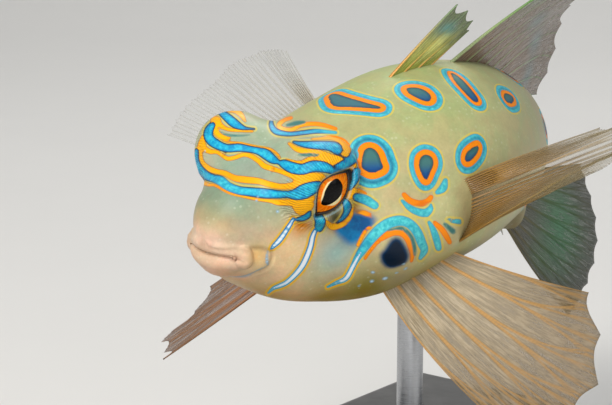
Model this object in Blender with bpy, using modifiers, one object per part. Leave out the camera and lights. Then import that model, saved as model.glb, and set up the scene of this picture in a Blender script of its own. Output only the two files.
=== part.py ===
"""Spotted mandarinfish, a life-size display model that hovers over a plain stand.

World frame: metres, +Z up, the origin under the middle of the stand. The fish faces about -Y, so
its left side is at +X.

The fish is shaped along a bent spine. A place on it is a station (how far behind the mouth), a side
(towards its left) and a rise (towards its back). A place on its skin is a station and a girth angle,
which is 0 on the back, 90 on the left side, 180 on the belly and -90 on the right side.
"""

import math

import bmesh
import bpy
import numpy as np
from mathutils import Vector

MM = 0.001

# Driving sizes
BODY_LENGTH = 52.0 * MM
JOINT_GAP = 0.3 * MM
SPINE_STEP = 0.25 * MM

# Where the spine passes over the stand, and how it is turned there and elsewhere
ANCHOR_STATION = 20.0 * MM
ANCHOR_HEIGHT = 31.0 * MM
# Station in mm, then yaw (head towards its left), pitch (nose up) and roll (left side down), degrees
SPINE_TURNS = (
    (0, -3, -14, 7),
    (6, -7, -13, 7),
    (12, -20, -8, 8),
    (18, -13, -1, 8),
    (24, 5, 3, 8),
    (31, 17, 7, 6),
    (39, 25, 20, 3),
    (47, 27, 32, 1),
    (52, 24, 34, 0),
)

# The body's sections, in mm: station, half width, back height, belly depth
BODY_SECTIONS = (
    (0, 2.1, 1.7, 2.6),
    (2, 2.8, 2.6, 4.4),
    (5, 4.4, 3.4, 6.8),
    (8.5, 5.6, 4.2, 8.2),
    (13, 7.0, 5.5, 8.7),
    (18, 7.6, 7.0, 7.6),
    (26, 6.4, 7.0, 5.8),
    (34, 4.9, 5.6, 4.4),
    (42, 3.4, 3.6, 3.2),
    (48, 2.3, 2.9, 2.7),
    (52, 1.6, 2.9, 2.8),
)
NOSE_ROUNDING = 2.6 * MM
BACK_FULLNESS = 1.95
BELLY_FULLNESS = 2.8

# Swellings that stand out of the sections, in mm: station, side, rise, the three half sizes, and how
# softly each one blends in. One with a side is made on both sides, but for the brow: the left eye mound
# stands fuller in the photograph than the right one.
LEFT_ONLY = ("brow",)
SWELLINGS = {
    "eye_mound": (7.4, 2.7, 1.5, 3.2, 3.6, 3.5, 0.45),
    "brow": (8.7, 4.15, 3.2, 2.8, 2.9, 1.8, 0.32),
    "chin": (1.6, 0.0, -2.1, 1.6, 1.9, 1.4, 0.30),
    "jaw_corner": (3.1, 1.9, -2.2, 1.6, 1.2, 1.2, 0.40),
    "gill_cover": (14.0, 4.5, -2.5, 4.2, 3.4, 3.4, 0.30),
    "pectoral_root": (16.6, 6.4, -1.8, 2.0, 1.8, 2.8, 0.35),
}

# Lips, in mm: station and rise of each one's middle line, how far its ends lie back and up from there,
# and its half thickness. The slit between them is the mouth.
LIPS = {
    "upper": (0.45, -0.62, 1.05, -0.50, 0.62),
    "lower": (0.45, -1.85, 0.95, 0.15, 0.70),
}
MOUTH_HALF_WIDTH = 2.2 * MM
LIP_BLEND = 0.25 * MM

# Where the head, trunk and tail meet
NECK_STATION = 13.0 * MM
TAIL_STATION = 35.0 * MM

# Mesh density of the body, closest at the mouth and the eye mounds: rings as ring and station in mm,
# and points down one side as point and girth angle
RING_PLAN = ((0, 0), (5, 0.6), (15, 4.0), (37, 10.6), (46, 16), (64, 52))
GIRTH_PLAN = ((0, 0), (4, 24), (20, 80), (33, 180))

# Eyes. The gaze is the way an eye looks out, as back, out and up.
EYE_RADIUS = 2.3 * MM
EYE_STATION = 7.35 * MM
EYE_SIDE = 4.15 * MM
EYE_RISE = 2.4 * MM
EYE_GAZE = (-0.14, 0.95, -0.15)
EYE_SEGMENTS = 24
EYE_RINGS = 14
# Lids: how thick they lie over the gap round the eyeball, half the opening's length and width as angles
# at the eyeball's centre, how far its back end is turned up, and how far out it is cut
LID_THICKNESS = 0.32 * MM
LID_BLEND = 0.4 * MM
LID_OPENING_LONG = 54.0
LID_OPENING_WIDE = 33.0
LID_OPENING_TURN = 42.0
LID_CUT_REACH = 3.6 * MM
# A groove round each eye: how strongly the skin sinks towards the lids, how far past them, and the
# angles from the gaze between which the groove fades out
ORBIT_GROOVE = 0.3
ORBIT_REACH = 2.4 * MM
ORBIT_ANGLES = (70.0, 105.0)

# Nostrils, one small pit ahead of each eye
NOSTRIL_STATION = 5.7 * MM
NOSTRIL_GIRTH = 32.0
NOSTRIL_RADIUS = 0.32 * MM
NOSTRIL_SEGMENTS = 12

# Fins. Each row is a guide ray, from the first ray to the last: share of the root, station in mm,
# girth angle, ray length in mm, then the ray's direction as fore, out and up.
FIN_GUIDES = {
    "fin_dorsal_first": (
        (0.0, 16.8, 0, 7.5, -0.72, 0.05, 0.69),
        (0.5, 18.6, 0, 6.5, -0.80, 0.02, 0.60),
        (1.0, 20.4, 0, 4.5, -0.84, 0.00, 0.54),
    ),
    "fin_dorsal_second": (
        (0.0, 22.6, 0, 13.0, -0.64, 0.34, 0.68),
        (0.5, 31.0, 0, 12.0, -0.80, 0.22, 0.55),
        (1.0, 39.5, 0, 10.0, -0.92, 0.12, 0.38),
    ),
    "fin_anal": (
        (0.0, 31.0, 180, 5.0, -0.85, 0.0, -0.53),
        (0.5, 36.0, 180, 6.5, -0.90, 0.0, -0.44),
        (1.0, 42.5, 180, 7.0, -0.95, 0.0, -0.30),
    ),
    "fin_caudal": (
        (0.0, 52.0, 0, 11.5, -0.80, 0.36, 0.46),
        (0.5, 52.0, 90, 14.0, -0.92, 0.40, 0.0),
        (1.0, 52.0, 180, 11.5, -0.80, 0.36, -0.46),
    ),
    "fin_pectoral_left": (
        (0.0, 17.9, 80, 10.5, -0.85, 0.40, 0.38),
        (0.5, 18.5, 95, 13.0, -0.55, 0.70, 0.54),
        (1.0, 17.9, 110, 11.5, 0.05, 0.82, 0.66),
    ),
    "fin_pectoral_right": (
        (0.0, 17.9, 82, 7.5, 0.05, 0.84, 0.54),
        (0.5, 18.5, 96, 12.0, 0.25, 0.90, 0.33),
        (1.0, 17.9, 110, 14.5, 0.50, 0.84, 0.04),
    ),
    "fin_pelvic_left": (
        (0.0, 13.5, 147, 11.5, -0.20, 0.62, -0.72),
        (0.5, 16.0, 134, 15.0, -0.38, 0.70, -0.58),
        (1.0, 18.3, 122, 10.0, -0.66, 0.70, -0.26),
    ),
    "fin_pelvic_right": (
        (0.0, 13.5, 147, 16.5, 0.62, 0.55, -0.70),
        (0.5, 16.0, 134, 17.5, 0.54, 0.58, -0.76),
        (1.0, 18.3, 122, 14.0, 0.40, 0.64, -0.78),
    ),
}
FIN_RAYS = {
    "fin_dorsal_first": 4,
    "fin_dorsal_second": 8,
    "fin_anal": 7,
    "fin_caudal": 9,
    "fin_pectoral_left": 13,
    "fin_pectoral_right": 13,
    "fin_pelvic_left": 6,
    "fin_pelvic_right": 6,
}
# How much a ray's direction changes from root to tip, as fore, out and up
FIN_CURL = {
    "fin_dorsal_first": (-0.20, 0.0, 0.0),
    "fin_dorsal_second": (-0.20, 0.15, -0.10),
    "fin_anal": (-0.20, 0.0, 0.10),
    "fin_caudal": (0.0, 0.25, 0.0),
    "fin_pectoral_left": (-0.30, 0.0, 0.05),
    "fin_pectoral_right": (-0.20, 0.0, 0.05),
    "fin_pelvic_left": (-0.25, 0.15, 0.10),
    "fin_pelvic_right": (-0.15, 0.10, 0.05),
}
CAUDAL_ROOT_HEIGHT = 2.6 * MM
FIN_ROWS = 6
WEB_THICKNESS = 0.5 * MM
RAY_RELIEF = 0.15 * MM
TIP_SHARE = 0.45
MARGIN_NOTCH = 0.05

# Stand
BASE_LENGTH = 54.0 * MM
BASE_WIDTH = 36.0 * MM
BASE_HEIGHT = 5.0 * MM
BASE_EDGE = 1.0 * MM
ROD_RADIUS = 1.0 * MM
ROD_STATION = 21.0 * MM
ROD_SIDES = 20

# Colours
SKIN_COLOUR = (0.62, 0.56, 0.36)
FIN_COLOUR = (0.50, 0.38, 0.22)
EYE_COLOUR = (0.75, 0.22, 0.02)
BASE_COLOUR = (0.03, 0.025, 0.02)
ROD_COLOUR = (0.55, 0.56, 0.58)


def between_rows(rows, place):
    """A table's values at a place in its first column, by a smooth curve that stays flat past its ends."""
    table = np.asarray(rows, float)
    at, values = table[:, 0], table[:, 1:]
    slopes = np.gradient(values, at, axis=0)
    place = np.clip(np.atleast_1d(place), at[0], at[-1])
    row = np.clip(np.searchsorted(at, place, side="right") - 1, 0, len(at) - 2)
    span = at[row + 1] - at[row]
    t = ((place - at[row]) / span)[:, None]
    span = span[:, None]
    start = (2 * t**3 - 3 * t**2 + 1) * values[row] + (t**3 - 2 * t**2 + t) * span * slopes[row]
    end = (3 * t**2 - 2 * t**3) * values[row + 1] + (t**3 - t**2) * span * slopes[row + 1]
    return start + end


def turned_axes(yaw, pitch, roll):
    """Forward, left and up for these angles in degrees."""
    yaw, pitch, roll = np.radians(yaw), np.radians(pitch), np.radians(roll)
    flat_forward = np.stack([np.sin(yaw), -np.cos(yaw), 0 * yaw], -1)
    level_left = np.stack([np.cos(yaw), np.sin(yaw), 0 * yaw], -1)
    upright = np.array([0.0, 0.0, 1.0])
    forward = flat_forward * np.cos(pitch)[:, None] + upright * np.sin(pitch)[:, None]
    level_up = upright * np.cos(pitch)[:, None] - flat_forward * np.sin(pitch)[:, None]
    left = level_left * np.cos(roll)[:, None] - level_up * np.sin(roll)[:, None]
    up = level_up * np.cos(roll)[:, None] + level_left * np.sin(roll)[:, None]
    return forward, left, up


class Spine:
    """The bent line that the fish is built along, from its mouth to the root of its tail fin."""

    def __init__(self):
        self.stations = np.arange(0.0, BODY_LENGTH + SPINE_STEP / 2, SPINE_STEP)
        yaw, pitch, roll = between_rows(SPINE_TURNS, self.stations / MM).T
        self.forward, self.left, self.up = turned_axes(yaw, pitch, roll)
        self.line = np.cumsum(-self.forward * SPINE_STEP, axis=0)
        anchor = np.array([np.interp(ANCHOR_STATION, self.stations, c) for c in self.line.T])
        self.line += np.array([0.0, 0.0, ANCHOR_HEIGHT]) - anchor

    def read(self, table, station):
        return np.stack([np.interp(station, self.stations, c) for c in table.T], -1)

    def axes(self, station):
        station = np.clip(station, 0.0, BODY_LENGTH)
        return [self.read(table, station) for table in (self.forward, self.left, self.up)]

    def place(self, local):
        """World places of local ones, each a station, a side and a rise."""
        held = np.clip(local[:, 0], 0.0, BODY_LENGTH)
        forward, left, up = self.axes(held)
        ahead = (held - local[:, 0])[:, None]
        return self.read(self.line, held) + forward * ahead + left * local[:, 1:2] + up * local[:, 2:3]


SPINE = Spine()


def signed_power(value, power):
    return np.sign(value) * np.abs(value) ** power


def smooth_maximum(a, b, softness):
    overlap = np.clip(softness - np.abs(a - b), 0.0, None) / softness
    return np.maximum(a, b) + overlap**2 * softness / 4


def swell(local, centre, half_sizes, softness):
    """Pushes what lies inside an ellipsoid out to its surface."""
    scaled = (local - centre) / half_sizes
    reach = np.maximum(np.linalg.norm(scaled, axis=1, keepdims=True), 1e-6)
    return centre + scaled * smooth_maximum(reach, 1.0, softness) / reach * half_sizes


def purse_lips(local):
    """Rounds the skin out over each lip."""
    across = np.clip(local[:, 1], -MOUTH_HALF_WIDTH, MOUTH_HALF_WIDTH)
    share = (across / MOUTH_HALF_WIDTH) ** 2
    for front, middle, sweep, lift, half_thickness in LIPS.values():
        centre = np.stack([(front + sweep * share) * MM, across, (middle + lift * share) * MM], -1)
        offset = local - centre
        reach = np.maximum(np.linalg.norm(offset, axis=1), 1e-9)
        over = smooth_maximum(reach, half_thickness * MM, LIP_BLEND)
        local = centre + offset * (over / reach)[:, None]
    return local


def skin_local(station, girth):
    """Local places on the skin, for arrays of stations and of girth angles in degrees."""
    station = np.atleast_1d(np.asarray(station, float))
    girth = np.radians(np.atleast_1d(np.asarray(girth, float)))
    width, back, belly = between_rows(BODY_SECTIONS, station / MM).T * MM
    blunt = np.clip(1.0 - station / NOSE_ROUNDING, 0.0, 1.0)
    nose = np.sqrt(1.0 - blunt**2)
    fullness = np.where(np.cos(girth) > 0, BACK_FULLNESS, BELLY_FULLNESS)
    height = np.where(np.cos(girth) > 0, back, belly)
    side = width * nose * signed_power(np.sin(girth), 2 / fullness)
    rise = height * nose * signed_power(np.cos(girth), 2 / fullness)
    local = np.stack([station, side, rise], -1)
    for name, (at, out, high, long, wide, tall, softness) in SWELLINGS.items():
        sides = (1.0, -1.0) if out and name not in LEFT_ONLY else (1.0,)
        for hand in sides:
            centre = np.array([at, out * hand, high]) * MM
            local = swell(local, centre, np.array([long, wide, tall]) * MM, softness)
    return purse_lips(local)


def eye_frame(hand):
    """An eye's centre, and its axes along the head, across it and out along the gaze, in the world."""
    centre = SPINE.place(np.array([[EYE_STATION, EYE_SIDE * hand, EYE_RISE]]))[0]
    forward, left, up = [axis[0] for axis in SPINE.axes(np.array([EYE_STATION]))]
    back, out, rise = EYE_GAZE
    gaze = -back * forward + out * hand * left + rise * up
    gaze /= np.linalg.norm(gaze)
    along = -forward - (-forward @ gaze) * gaze
    along /= np.linalg.norm(along)
    return centre, np.array([along, np.cross(gaze, along), gaze])


def seat_eyes(places):
    """Draws the skin over each eyeball as lids, with a groove round them."""
    cover = EYE_RADIUS + JOINT_GAP + LID_THICKNESS
    for hand in (1.0, -1.0):
        centre, axes = eye_frame(hand)
        offset = places - centre
        reach = np.maximum(np.linalg.norm(offset, axis=1), 1e-9)
        angle = np.degrees(np.arccos(np.clip(offset @ axes[2] / reach, -1.0, 1.0)))
        ahead = np.clip((ORBIT_ANGLES[1] - angle) / (ORBIT_ANGLES[1] - ORBIT_ANGLES[0]), 0.0, 1.0)
        past = np.clip((reach - cover) / ORBIT_REACH, 0.0, 1.0)
        sunk = reach - ORBIT_REACH * ORBIT_GROOVE * 4.0 * past * (1.0 - past) ** 2 * ahead
        over = smooth_maximum(sunk, cover, LID_BLEND)
        places = centre + offset * (over / reach)[:, None]
    return places


def skin(station, girth):
    """World places on the skin, for arrays of stations and of girth angles in degrees."""
    return seat_eyes(SPINE.place(skin_local(station, girth)))


def skin_normal(station, girth, step=0.2 * MM, turn=1.0):
    """Unit normals out of the skin."""
    ahead = skin(station - step, girth) - skin(station + step, girth)
    around = skin(station, girth + turn) - skin(station, girth - turn)
    normal = np.cross(ahead, around)
    return normal / np.linalg.norm(normal, axis=1, keepdims=True)


def plain_material(name, colour, roughness, metallic=0.0):
    material = bpy.data.materials.new(name)
    material.use_nodes = True
    shader = material.node_tree.nodes["Principled BSDF"]
    shader.inputs["Base Color"].default_value = (*colour, 1.0)
    shader.inputs["Roughness"].default_value = roughness
    shader.inputs["Metallic"].default_value = metallic
    return material


def add_object(name, mesh, material, collection):
    made = bpy.data.objects.new(name, mesh)
    mesh.materials.clear()
    mesh.materials.append(material)
    collection.objects.link(made)
    return made


def planned(plan):
    """A plan's value at each of its whole steps, after the first."""
    steps, values = zip(*plan)
    return np.interp(np.arange(1, steps[-1] + 1), steps, values)


def body_mesh():
    """The whole body as one closed surface, from the mouth to the flat root of the tail fin."""
    shell = bmesh.new()
    down = planned(GIRTH_PLAN)
    girths = np.concatenate([[0.0], down, -down[-2::-1]])
    rings = []
    for station in planned(RING_PLAN) * MM:
        places = skin(np.full(len(girths), station), girths)
        rings.append([shell.verts.new(p) for p in places])
    mouth = shell.verts.new(skin([0.0], [0.0])[0])
    for k in range(len(girths)):
        after = (k + 1) % len(girths)
        shell.faces.new((mouth, rings[0][k], rings[0][after]))
        for near, far in zip(rings, rings[1:]):
            shell.faces.new((near[k], far[k], far[after], near[after]))
    shell.faces.new(rings[-1])
    bmesh.ops.recalc_face_normals(shell, faces=shell.faces)
    return shell


def cut_body(shell, station, keep_front):
    """Cuts the shell across the spine, half a joint gap short of a station, and closes the cut."""
    shift = -JOINT_GAP / 2 if keep_front else JOINT_GAP / 2
    place = SPINE.place(np.array([[station + shift, 0.0, 0.0]]))[0]
    forward = SPINE.axes(np.array([station]))[0][0]
    away = -forward if keep_front else forward
    everything = shell.verts[:] + shell.edges[:] + shell.faces[:]
    cut = bmesh.ops.bisect_plane(
        shell, geom=everything, plane_co=Vector(place), plane_no=Vector(away), clear_outer=True
    )
    edges = [e for e in cut["geom_cut"] if isinstance(e, bmesh.types.BMEdge)]
    bmesh.ops.contextual_create(shell, geom=edges)
    bmesh.ops.recalc_face_normals(shell, faces=shell.faces)


def make_body(collection, material):
    """Head, trunk and tail, parted by thin cuts."""
    cuts = {
        "head": ((NECK_STATION, True),),
        "trunk": ((NECK_STATION, False), (TAIL_STATION, True)),
        "tail": ((TAIL_STATION, False),),
    }
    for name, sides in cuts.items():
        shell = body_mesh()
        for station, keep_front in sides:
            cut_body(shell, station, keep_front)
        mesh = bpy.data.meshes.new(name)
        shell.to_mesh(mesh)
        shell.free()
        mesh.shade_smooth()
        add_object(name, mesh, material, collection)


def add_cutter(name, mesh, body, cutters):
    """A hidden shape, and the cut that it makes in a body."""
    cutter = bpy.data.objects.new(name, mesh)
    cutter.hide_render = True
    cutter.display_type = "WIRE"
    cutters.objects.link(cutter)
    cut = body.modifiers.new(name, "BOOLEAN")
    cut.operation = "DIFFERENCE"
    cut.object = cutter


def cut_nostrils(cutters):
    for side, hand in (("left", 1.0), ("right", -1.0)):
        ball = bmesh.new()
        turn = NOSTRIL_SEGMENTS
        bmesh.ops.create_uvsphere(ball, u_segments=turn, v_segments=turn // 2, radius=NOSTRIL_RADIUS)
        place = skin([NOSTRIL_STATION], [NOSTRIL_GIRTH * hand])[0]
        bmesh.ops.translate(ball, verts=ball.verts, vec=place)
        mesh = bpy.data.meshes.new("nostril_" + side)
        ball.to_mesh(mesh)
        ball.free()
        add_cutter(mesh.name, mesh, bpy.data.objects["head"], cutters)


def socket_mesh(name, hand):
    """The room round an eyeball, and the opening between its lids, widened out through the skin."""
    centre, axes = eye_frame(hand)
    around = np.arange(EYE_SEGMENTS) * 2 * math.pi / EYE_SEGMENTS
    turned = around - math.radians(LID_OPENING_TURN) * hand
    edge = 1.0 / np.hypot(np.cos(turned) / LID_OPENING_LONG, np.sin(turned) / LID_OPENING_WIDE)
    room = EYE_RADIUS + JOINT_GAP
    rows = [(edge * share, LID_CUT_REACH) for share in (1 / 3, 2 / 3, 1.0)]
    rows += [(edge + (180.0 - edge) * share, room) for share in np.arange(EYE_RINGS) / EYE_RINGS]

    hollow = bmesh.new()
    rings = []
    for angle, reach in rows:
        angle = np.radians(angle)
        spread = np.sin(angle)
        ways = np.stack([np.cos(around) * spread, np.sin(around) * spread, np.cos(angle)], -1)
        rings.append([hollow.verts.new(centre + reach * way @ axes) for way in ways])
    front = hollow.verts.new(centre + axes[2] * LID_CUT_REACH)
    back = hollow.verts.new(centre - axes[2] * room)
    for k in range(EYE_SEGMENTS):
        after = (k + 1) % EYE_SEGMENTS
        hollow.faces.new((front, rings[0][k], rings[0][after]))
        hollow.faces.new((back, rings[-1][after], rings[-1][k]))
        for near, far in zip(rings, rings[1:]):
            hollow.faces.new((near[k], far[k], far[after], near[after]))
    bmesh.ops.recalc_face_normals(hollow, faces=hollow.faces)
    mesh = bpy.data.meshes.new(name)
    hollow.to_mesh(mesh)
    hollow.free()
    return mesh


def make_eyes(collection, cutters, material):
    """Each eyeball, and its socket in the head."""
    head = bpy.data.objects["head"]
    for name, hand in (("eye_left", 1.0), ("eye_right", -1.0)):
        centre, axes = eye_frame(hand)
        ball = bmesh.new()
        bmesh.ops.create_uvsphere(ball, u_segments=EYE_SEGMENTS, v_segments=EYE_RINGS, radius=EYE_RADIUS)
        mesh = bpy.data.meshes.new(name)
        ball.to_mesh(mesh)
        ball.free()
        mesh.shade_smooth()
        eye = add_object(name, mesh, material, collection)
        eye.location = centre
        eye.rotation_mode = "QUATERNION"
        eye.rotation_quaternion = Vector(axes[2]).to_track_quat("Z", "Y")
        add_cutter(name + "_socket", socket_mesh(name + "_socket", hand), head, cutters)


def fin_grid(name, columns):
    """Places over a fin's middle surface: one column for each ray crest and each web between."""
    hand = -1.0 if name.endswith("right") else 1.0
    shares = np.linspace(0.0, 1.0, columns)
    station, girth, length, fore, out, rise = between_rows(FIN_GUIDES[name], shares).T
    station = station * MM
    girth = girth * hand
    forward, left, up = SPINE.axes(station)
    start = skin(station, girth)
    if name == "fin_caudal":
        end_height = np.cos(np.radians(girth)) * CAUDAL_ROOT_HEIGHT
        start = SPINE.place(np.stack([station, 0 * station, end_height], -1))
        normal = -forward
    else:
        normal = skin_normal(station, girth)
    curl = np.array(FIN_CURL[name])
    steps = np.linspace(0.0, 1.0, FIN_ROWS + 1)
    crest = np.arange(columns) % 2 == 0
    reach = length * MM * np.where(crest, 1.0, 1.0 - MARGIN_NOTCH)
    rows = [start]
    for middle in (steps[1:] + steps[:-1]) / 2:
        way = (
            forward * (fore + curl[0] * middle)[:, None]
            + left * (out * hand + curl[1] * hand * middle)[:, None]
            + up * (rise + curl[2] * middle)[:, None]
        )
        way /= np.linalg.norm(way, axis=1, keepdims=True)
        rows.append(rows[-1] + way * (reach / FIN_ROWS)[:, None])
    return np.array(rows), steps, crest, normal


def grid_normals(grid):
    along = np.gradient(grid, axis=0)
    across = np.gradient(grid, axis=1)
    normal = np.cross(along, across)
    return normal / np.linalg.norm(normal, axis=2, keepdims=True)


def make_fin(name, collection, material):
    """A fan of rays in a thin web, thickest along each ray, that starts just off the skin."""
    columns = 2 * FIN_RAYS[name] - 1
    grid, steps, crest, skin_out = fin_grid(name, columns)
    faces_out = grid_normals(grid)
    ridge = RAY_RELIEF * crest[None, :] * (1.0 - 0.7 * steps[:, None])
    taper = 1.0 - (1.0 - TIP_SHARE) * np.clip((steps - 0.8) / 0.2, 0.0, 1.0)
    half = (WEB_THICKNESS / 2 + ridge) * taper[:, None]
    tilt = np.abs(np.einsum("ij,ij->i", faces_out[0], skin_out))
    grid = grid + (skin_out * (JOINT_GAP + half[0] * tilt)[:, None])[None]
    sheets = [grid + faces_out * half[:, :, None], grid - faces_out * half[:, :, None]]
    fan = bmesh.new()
    top, bottom = [
        [[fan.verts.new(place) for place in row] for row in sheet] for sheet in sheets
    ]
    rows, across = len(steps), columns
    for i in range(rows - 1):
        for j in range(across - 1):
            for sheet in (top, bottom):
                a, b, c, d = sheet[i][j], sheet[i][j + 1], sheet[i + 1][j + 1], sheet[i + 1][j]
                fan.faces.new((a, b, c))
                fan.faces.new((a, c, d))
    border = [(0, j) for j in range(across)]
    border += [(i, across - 1) for i in range(1, rows)]
    border += [(rows - 1, j) for j in range(across - 2, -1, -1)]
    border += [(i, 0) for i in range(rows - 2, 0, -1)]
    for (i, j), (m, n) in zip(border, border[1:] + border[:1]):
        fan.faces.new((top[i][j], top[m][n], bottom[m][n], bottom[i][j]))
    bmesh.ops.recalc_face_normals(fan, faces=fan.faces)
    mesh = bpy.data.meshes.new(name)
    fan.to_mesh(mesh)
    fan.free()
    add_object(name, mesh, material, collection)


def make_stand(collection, base_material, rod_material):
    """A flat base with softened edges, and a rod up to the belly."""
    bpy.ops.mesh.primitive_cube_add(size=1.0, location=(0.0, 0.0, BASE_HEIGHT / 2))
    base = bpy.context.active_object
    base.name = "stand_base"
    base.scale = (BASE_WIDTH, BASE_LENGTH, BASE_HEIGHT)
    bpy.ops.object.transform_apply(location=False, rotation=False, scale=True)
    edge = base.modifiers.new("softened_edge", "BEVEL")
    edge.width = BASE_EDGE
    edge.segments = 2
    base.data.materials.append(base_material)

    belly = skin([ROD_STATION], [180.0])[0]
    foot = BASE_HEIGHT + JOINT_GAP
    head = belly[2] - 2 * JOINT_GAP
    bpy.ops.mesh.primitive_cylinder_add(
        vertices=ROD_SIDES,
        radius=ROD_RADIUS,
        depth=head - foot,
        location=(belly[0], belly[1], (head + foot) / 2),
    )
    rod = bpy.context.active_object
    rod.name = "stand_rod"
    rod.data.materials.append(rod_material)
    for made in (base, rod):
        for owner in made.users_collection:
            owner.objects.unlink(made)
        collection.objects.link(made)


def main():
    for old in list(bpy.data.objects):
        bpy.data.objects.remove(old)
    fish = bpy.data.collections.new("spotted_mandarinfish")
    cutters = bpy.data.collections.new("cutters")
    bpy.context.scene.collection.children.link(fish)
    bpy.context.scene.collection.children.link(cutters)
    skin = plain_material("skin", SKIN_COLOUR, 0.45)
    web = plain_material("fin_web", FIN_COLOUR, 0.5)
    make_body(fish, skin)
    make_eyes(fish, cutters, plain_material("eyeball", EYE_COLOUR, 0.1))
    cut_nostrils(cutters)
    for name in FIN_GUIDES:
        make_fin(name, fish, web)
    make_stand(
        fish,
        plain_material("stand_black", BASE_COLOUR, 0.35),
        plain_material("stand_steel", ROD_COLOUR, 0.25, 1.0),
    )


main()
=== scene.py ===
"""Looks of the spotted mandarinfish: its skin with the markings, its eyes and lids, its fins, the stand
and the studio round them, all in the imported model's frame, in metres.

The fish is laid out as in the model's source. A place on its skin is a station, which is how far it
lies behind the mouth, and a girth angle, which is 0 on the back, 90 on the left side and 180 on the
belly. The markings are read off the photograph as places in its picture. They are carried onto the
skin along the camera's lines of sight, and the side that the photograph hides gets them mirrored.
"""

import math
from itertools import product

import bpy
import numpy as np
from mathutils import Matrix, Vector
from mathutils.bvhtree import BVHTree
from mathutils.geometry import barycentric_transform
from numpy.linalg import norm

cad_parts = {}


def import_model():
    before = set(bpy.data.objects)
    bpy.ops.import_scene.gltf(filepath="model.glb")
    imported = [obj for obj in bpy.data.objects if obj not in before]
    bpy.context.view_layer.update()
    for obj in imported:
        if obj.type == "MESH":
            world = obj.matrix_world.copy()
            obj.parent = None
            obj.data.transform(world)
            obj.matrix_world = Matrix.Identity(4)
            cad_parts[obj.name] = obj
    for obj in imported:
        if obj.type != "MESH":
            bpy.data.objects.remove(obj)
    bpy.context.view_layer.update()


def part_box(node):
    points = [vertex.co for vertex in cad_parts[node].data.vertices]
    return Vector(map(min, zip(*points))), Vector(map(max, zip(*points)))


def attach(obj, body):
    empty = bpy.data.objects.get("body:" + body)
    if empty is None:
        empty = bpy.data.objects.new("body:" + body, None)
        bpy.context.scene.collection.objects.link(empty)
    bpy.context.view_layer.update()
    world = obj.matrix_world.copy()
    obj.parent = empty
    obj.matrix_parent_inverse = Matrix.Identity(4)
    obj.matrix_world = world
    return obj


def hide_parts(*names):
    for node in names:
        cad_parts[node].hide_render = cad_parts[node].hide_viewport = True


MM = 0.001
# The fish's left side and right side, and what turns a station and a girth angle into the mirrored ones
HANDS = (1.0, -1.0)
MIRRORED = np.array([1.0, -1.0])

# The photograph's size, and the camera that took it: turn and rise round its target, in degrees
PICTURE = (612, 405)
CAMERA_TURN = 38.0
CAMERA_RISE = 12.0
CAMERA_DISTANCE = 0.130
CAMERA_LENS = 111.0
CAMERA_SENSOR = 36.0
CAMERA_TARGET = (-0.0001, -0.0130, 0.02995)

# The body, as in the model's source
BODY_LENGTH = 52.0 * MM
SPINE_STEP = 0.25 * MM
ANCHOR_STATION = 20.0 * MM
ANCHOR_HEIGHT = 31.0 * MM
# Station in mm, then yaw, pitch and roll in degrees
SPINE_TURNS = (
    (0, -3, -14, 7),
    (6, -7, -13, 7),
    (12, -20, -8, 8),
    (18, -13, -1, 8),
    (24, 5, 3, 8),
    (31, 17, 7, 6),
    (39, 25, 20, 3),
    (47, 27, 32, 1),
    (52, 24, 34, 0),
)
# Station, half width, back height and belly depth, in mm
BODY_SECTIONS = (
    (0, 2.1, 1.7, 2.6),
    (2, 2.8, 2.6, 4.4),
    (5, 4.4, 3.4, 6.8),
    (8.5, 5.6, 4.2, 8.2),
    (13, 7.0, 5.5, 8.7),
    (18, 7.6, 7.0, 7.6),
    (26, 6.4, 7.0, 5.8),
    (34, 4.9, 5.6, 4.4),
    (42, 3.4, 3.6, 3.2),
    (48, 2.3, 2.9, 2.7),
    (52, 1.6, 2.9, 2.8),
)
NOSE_ROUNDING = 2.6 * MM
BACK_FULLNESS = 1.95
BELLY_FULLNESS = 2.8
# Station, side, rise, three half sizes in mm, and how softly each swelling blends in; one with a side is on
# both sides, but for the brow
LEFT_ONLY = ("brow",)
SWELLINGS = {
    "eye_mound": (7.4, 2.7, 1.5, 3.2, 3.6, 3.5, 0.45),
    "brow": (8.7, 4.15, 3.2, 2.8, 2.9, 1.8, 0.32),
    "chin": (1.6, 0.0, -2.1, 1.6, 1.9, 1.4, 0.30),
    "jaw_corner": (3.1, 1.9, -2.2, 1.6, 1.2, 1.2, 0.40),
    "gill_cover": (14.0, 4.5, -2.5, 4.2, 3.4, 3.4, 0.30),
    "pectoral_root": (16.6, 6.4, -1.8, 2.0, 1.8, 2.8, 0.35),
}
# Station and rise of each lip's middle line, how far its ends lie back and up, half thickness, in mm
LIPS = {
    "upper": (0.45, -0.62, 1.05, -0.50, 0.62),
    "lower": (0.45, -1.85, 0.95, 0.15, 0.70),
}
MOUTH_HALF_WIDTH = 2.2 * MM
LIP_BLEND = 0.25 * MM
# The line between the lips: how many places it is worked out at and how far past the lips it runs, how far
# back it can lie, its half width in mm, and where its left corner begins and ends in mm. Then its depth in
# mm and the darkness of its painted shade, each with what the corner adds
MOUTH_PLACES = 121
MOUTH_RUN = 1.02
MOUTH_REACH = 3.0 * MM
MOUTH_LINE = 0.11
MOUTH_CORNER = (0.8, 2.0)
MOUTH_DEPTH = (0.10, 0.08)
MOUTH_SHADE = (0.18, 0.36)

# Eyes and lids
EYE_RADIUS = 2.3 * MM
EYE_STATION = 7.35 * MM
EYE_SIDE = 4.15 * MM
EYE_RISE = 2.4 * MM
EYE_GAZE = (-0.14, 0.95, -0.15)
LID_COVER = 2.92 * MM
LID_BLEND = 0.4 * MM
ORBIT_GROOVE = 0.3
ORBIT_REACH = 2.4 * MM
ORBIT_ANGLES = (70.0, 105.0)
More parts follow.
